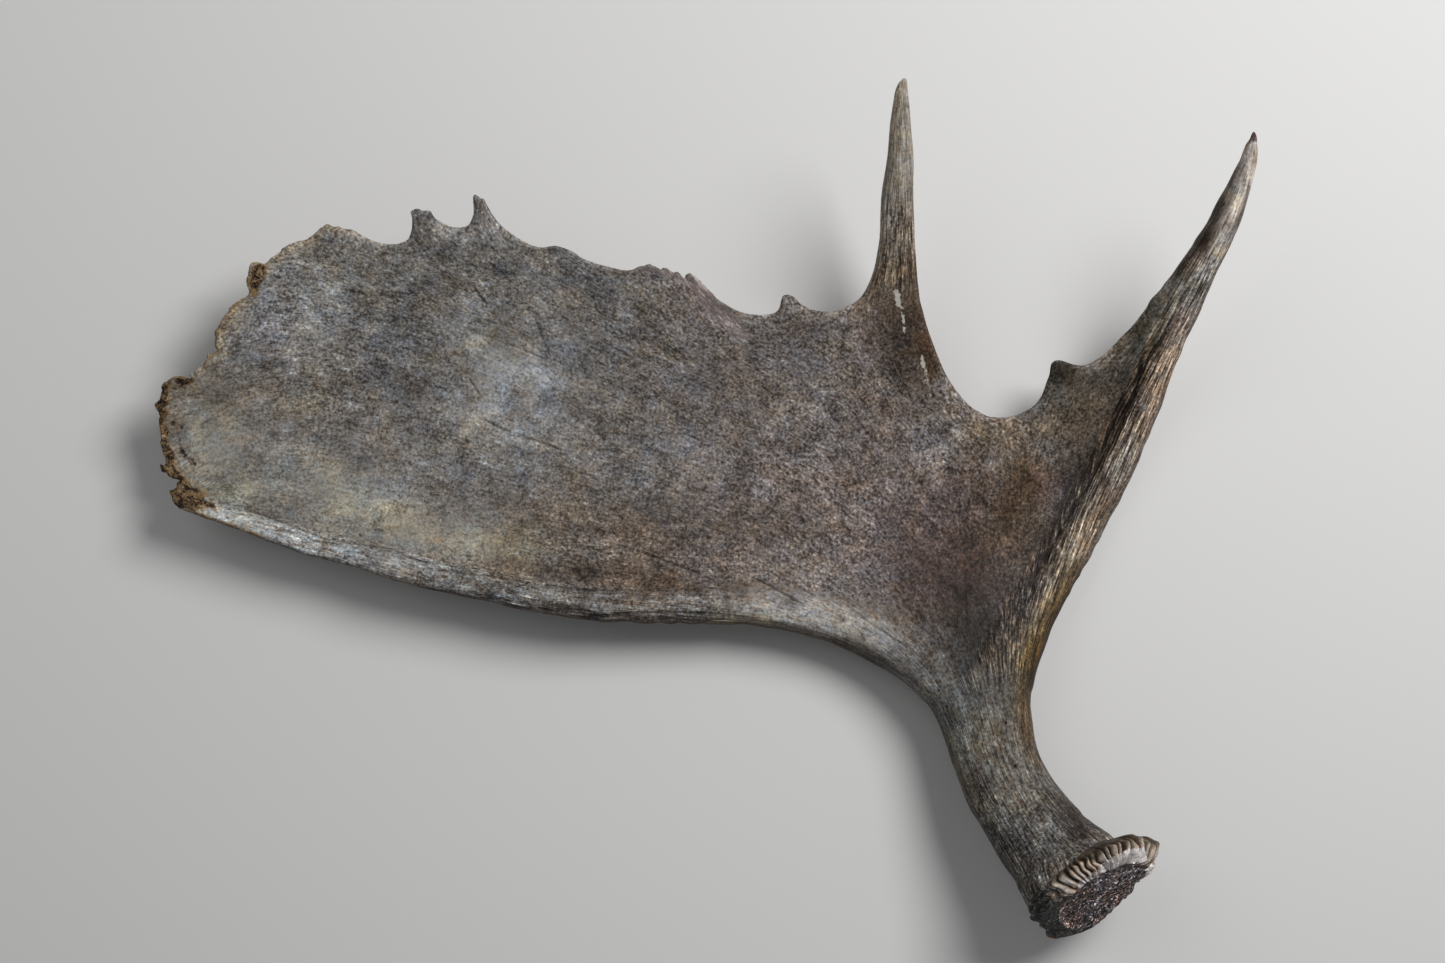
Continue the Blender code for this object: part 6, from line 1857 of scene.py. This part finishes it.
    rough = t.math('MULTIPLY_ADD', cloud, 0.06, 0.72)
    rough = t.sub(rough, t.mul(ridge, t.mul(rod, 0.16)))
    height = t.add(t.mul(flat, t.mul(con, t.add(t.mul(strokes, 0.06), t.mul(short, 0.13),
                                                t.mul(cloud, 0.10), t.mul(speck, 0.04)))),
                   t.mul(rod, t.add(t.mul(thin, t.math('MULTIPLY_ADD', ribbed, 0.16, 0.06)),
                                    t.mul(long, t.math('MULTIPLY_ADD', ribbed, 0.05, 0.25)),
                                    t.mul(dark, t.math('MULTIPLY_ADD', ribbed, -0.16, -0.05)),
                                    t.mul(blotch, 0.12), t.mul(speck, 0.04))))
    height = t.sub(height, t.add(t.mul(pit, 0.7), t.mul(crack, 0.30)))
    height = t.add(height, t.mul(crumb, t.add(t.mul(grain, 0.45), t.mul(lumps, 0.9),
                                              t.mul(t.step(pores, 0.1, 0.4), 0.5),
                                              t.mul(t.step(holes, -0.65, -0.2), 0.8))))
    return t.finish(colour, rough, height, 0.25)


def burr_material():
    t = Tree("burr_bone")
    ob = t.object
    gap, white, lip = t.attr("gap"), t.attr("white"), t.attr("lip")
    seal, pore, back = t.attr("seal"), t.attr("pore"), t.attr("back")
    mottle = t.noise(ob, 190, 4.0, 0.9, 0.5)
    cloud = t.noise(ob, 60, 2.0, 0.55, 0.6)
    hue = t.noise(ob, 90, 2.0, 0.5, 0.0, 2.2)
    crumbs = t.noise(ob, 500, 3.0, 0.9, 0.6, 6.3)
    bare, fold = t.attr("bare"), t.attr("fold")
    stops = t.add(t.mul(mottle, 1.05), t.mul(cloud, 0.30), t.mul(crumbs, 0.35))
    # the worn lower left side: strong mottle, and darker as painted shade
    stops = t.add(stops, t.mul(bare, t.add(t.mul(mottle, 2.6), t.mul(crumbs, 4.4), -2.0)))
    # darker and browner behind the beads: brown bone and painted shade
    light = t.mul(t.math('POWER', 2.0, t.sub(stops, t.add(t.mul(back, 1.15),
                                                          t.mul(fold, -0.8)))), 0.098)
    grey = t.tinted(light, t.add(t.mul(hue, 0.2), 0.26, t.mul(back, 0.75),
                                 t.mul(bare, -0.14)), 0.02)
    cream = t.tinted(t.mul(t.math('POWER', 2.0, t.mul(stops, 0.9)), 0.40),
                     t.add(t.mul(hue, 0.3), 0.38, t.mul(t.sub(1.0, white), 0.95)), 0.0)
    patch = t.step(t.noise(ob, 70, 1.0, 0.5, 0.8, 4.7), -0.5, 0.6)
    grains = t.add(t.mul(t.add(t.mul(mottle, 2.7), t.mul(crumbs, 6.2)),
                         t.math('MULTIPLY_ADD', patch, 0.25, 1.18)), t.mul(patch, 0.5), -1.20)
    pink = t.tinted(t.mul(t.math('POWER', 2.0, grains), 0.125),
                    t.add(t.mul(hue, 0.70), 0.54, t.mul(crumbs, -0.55)), -0.085)
    colour = t.colour_mix(t.mul(t.step(white, 0.0, 0.85), t.step(mottle, -1.1, -0.1)),
                          grey, cream)
    # painted shade in the gaps between the beads and in the hollow
    colour = t.colour_mix(t.mul(t.step(t.add(gap, t.mul(mottle, 0.30)), 0.38, 0.95), 0.9),
                          colour, (0.036, 0.024, 0.015))
    chalk = t.tinted(t.mul(t.math('POWER', 2.0, t.add(t.mul(crumbs, 0.9), t.mul(mottle, 0.7),
                                                      -0.05)), 0.66), 0.14, -0.02)
    colour = t.colour_mix(t.step(t.add(lip, t.mul(mottle, 0.6)), 0.35, 0.8), colour, chalk)
    colour = t.colour_mix(t.step(t.add(seal, t.mul(mottle, 0.35)), 0.3, 0.7), colour, pink)
    colour = t.colour_mix(t.step(t.add(pore, t.mul(crumbs, 0.3)), 0.50, 0.85), colour,
                          (0.030, 0.022, 0.020))
    colour = t.colour_mix(t.step(t.attr("rust"), 0.45, 0.8), colour,
                          t.colour_mix(t.step(crumbs, -0.5, 0.6), (0.03, 0.012, 0.006),
                                       (0.20, 0.085, 0.035)))
    rough = t.math('MULTIPLY_ADD', mottle, 0.08, 0.62)
    height = t.add(t.mul(mottle, t.math('MULTIPLY_ADD', seal, 0.35, 0.30)),
                   t.mul(crumbs, t.math('MULTIPLY_ADD', seal, 0.26, 0.12)))
    return t.finish(colour, rough, height, 0.18)


# --------------------------------------------------------------------- scene
def build_stage():
    mesh = bpy.data.meshes.new("floor")
    mesh.from_pydata([(-6, -6, -0.0003), (6, -6, -0.0003), (6, 6, -0.0003), (-6, 6, -0.0003)],
                     [], [(0, 1, 2, 3)])
    floor = bpy.data.objects.new("floor", mesh)
    bpy.context.collection.objects.link(floor)
    t = Tree("pale_floor")
    t.bsdf.inputs["Base Color"].default_value = (0.64, 0.635, 0.625, 1.0)
    t.bsdf.inputs["Roughness"].default_value = 0.9
    t.bsdf.inputs["Specular IOR Level"].default_value = 0.1
    mesh.materials.append(t.mat)


def area_light(name, at, aim, size, power, colour=(1.0, 1.0, 1.0)):
    data = bpy.data.lights.new(name, 'AREA')
    data.shape = 'DISK'
    data.size = size
    data.energy = power
    data.color = colour
    ob = bpy.data.objects.new(name, data)
    bpy.context.collection.objects.link(ob)
    ob.location = at
    ob.rotation_euler = (Vector(aim) - Vector(at)).to_track_quat('-Z', 'Y').to_euler()
    return ob


def build_light():
    world = bpy.data.worlds.new("studio")
    bpy.context.scene.world = world
    world.use_nodes = True
    back = world.node_tree.nodes["Background"]
    back.inputs["Color"].default_value = (0.95, 0.97, 1.0, 1.0)
    back.inputs["Strength"].default_value = 0.17
    area_light("key", (0.95, 0.85, 1.45), (0.0, 0.0, 0.0), 0.9, 33.0)
    area_light("fill", (-1.0, 0.9, 1.7), (0.0, 0.0, 0.0), 1.4, 6.0)


def build_camera():
    data = bpy.data.cameras.new("camera")
    data.sensor_width = 36.0
    data.sensor_fit = 'HORIZONTAL'
    data.lens = 36.0 * EYE / (1445 * PX)
    data.clip_start, data.clip_end = 0.01, 50.0
    cam = bpy.data.objects.new("camera", data)
    bpy.context.collection.objects.link(cam)
    cam.location = (-SHIFT_X * 0.001, -SHIFT_Y * 0.001, EYE * 0.001)
    cam.rotation_euler = (0.0, 0.0, 0.0)
    bpy.context.scene.camera = cam


def main():
    build_camera()
    antler = build_bone()
    antler.data.materials.append(bone_material())
    burr = build_burr()
    burr.data.materials.append(burr_material())
    for piece in (antler, burr):
        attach(piece, "root")
    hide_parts("beam", "main_palm", "long_tine", "brow_palm")
    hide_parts("beam")
    build_stage()
    build_light()
    bpy.context.scene.view_settings.view_transform = 'Standard'


main()
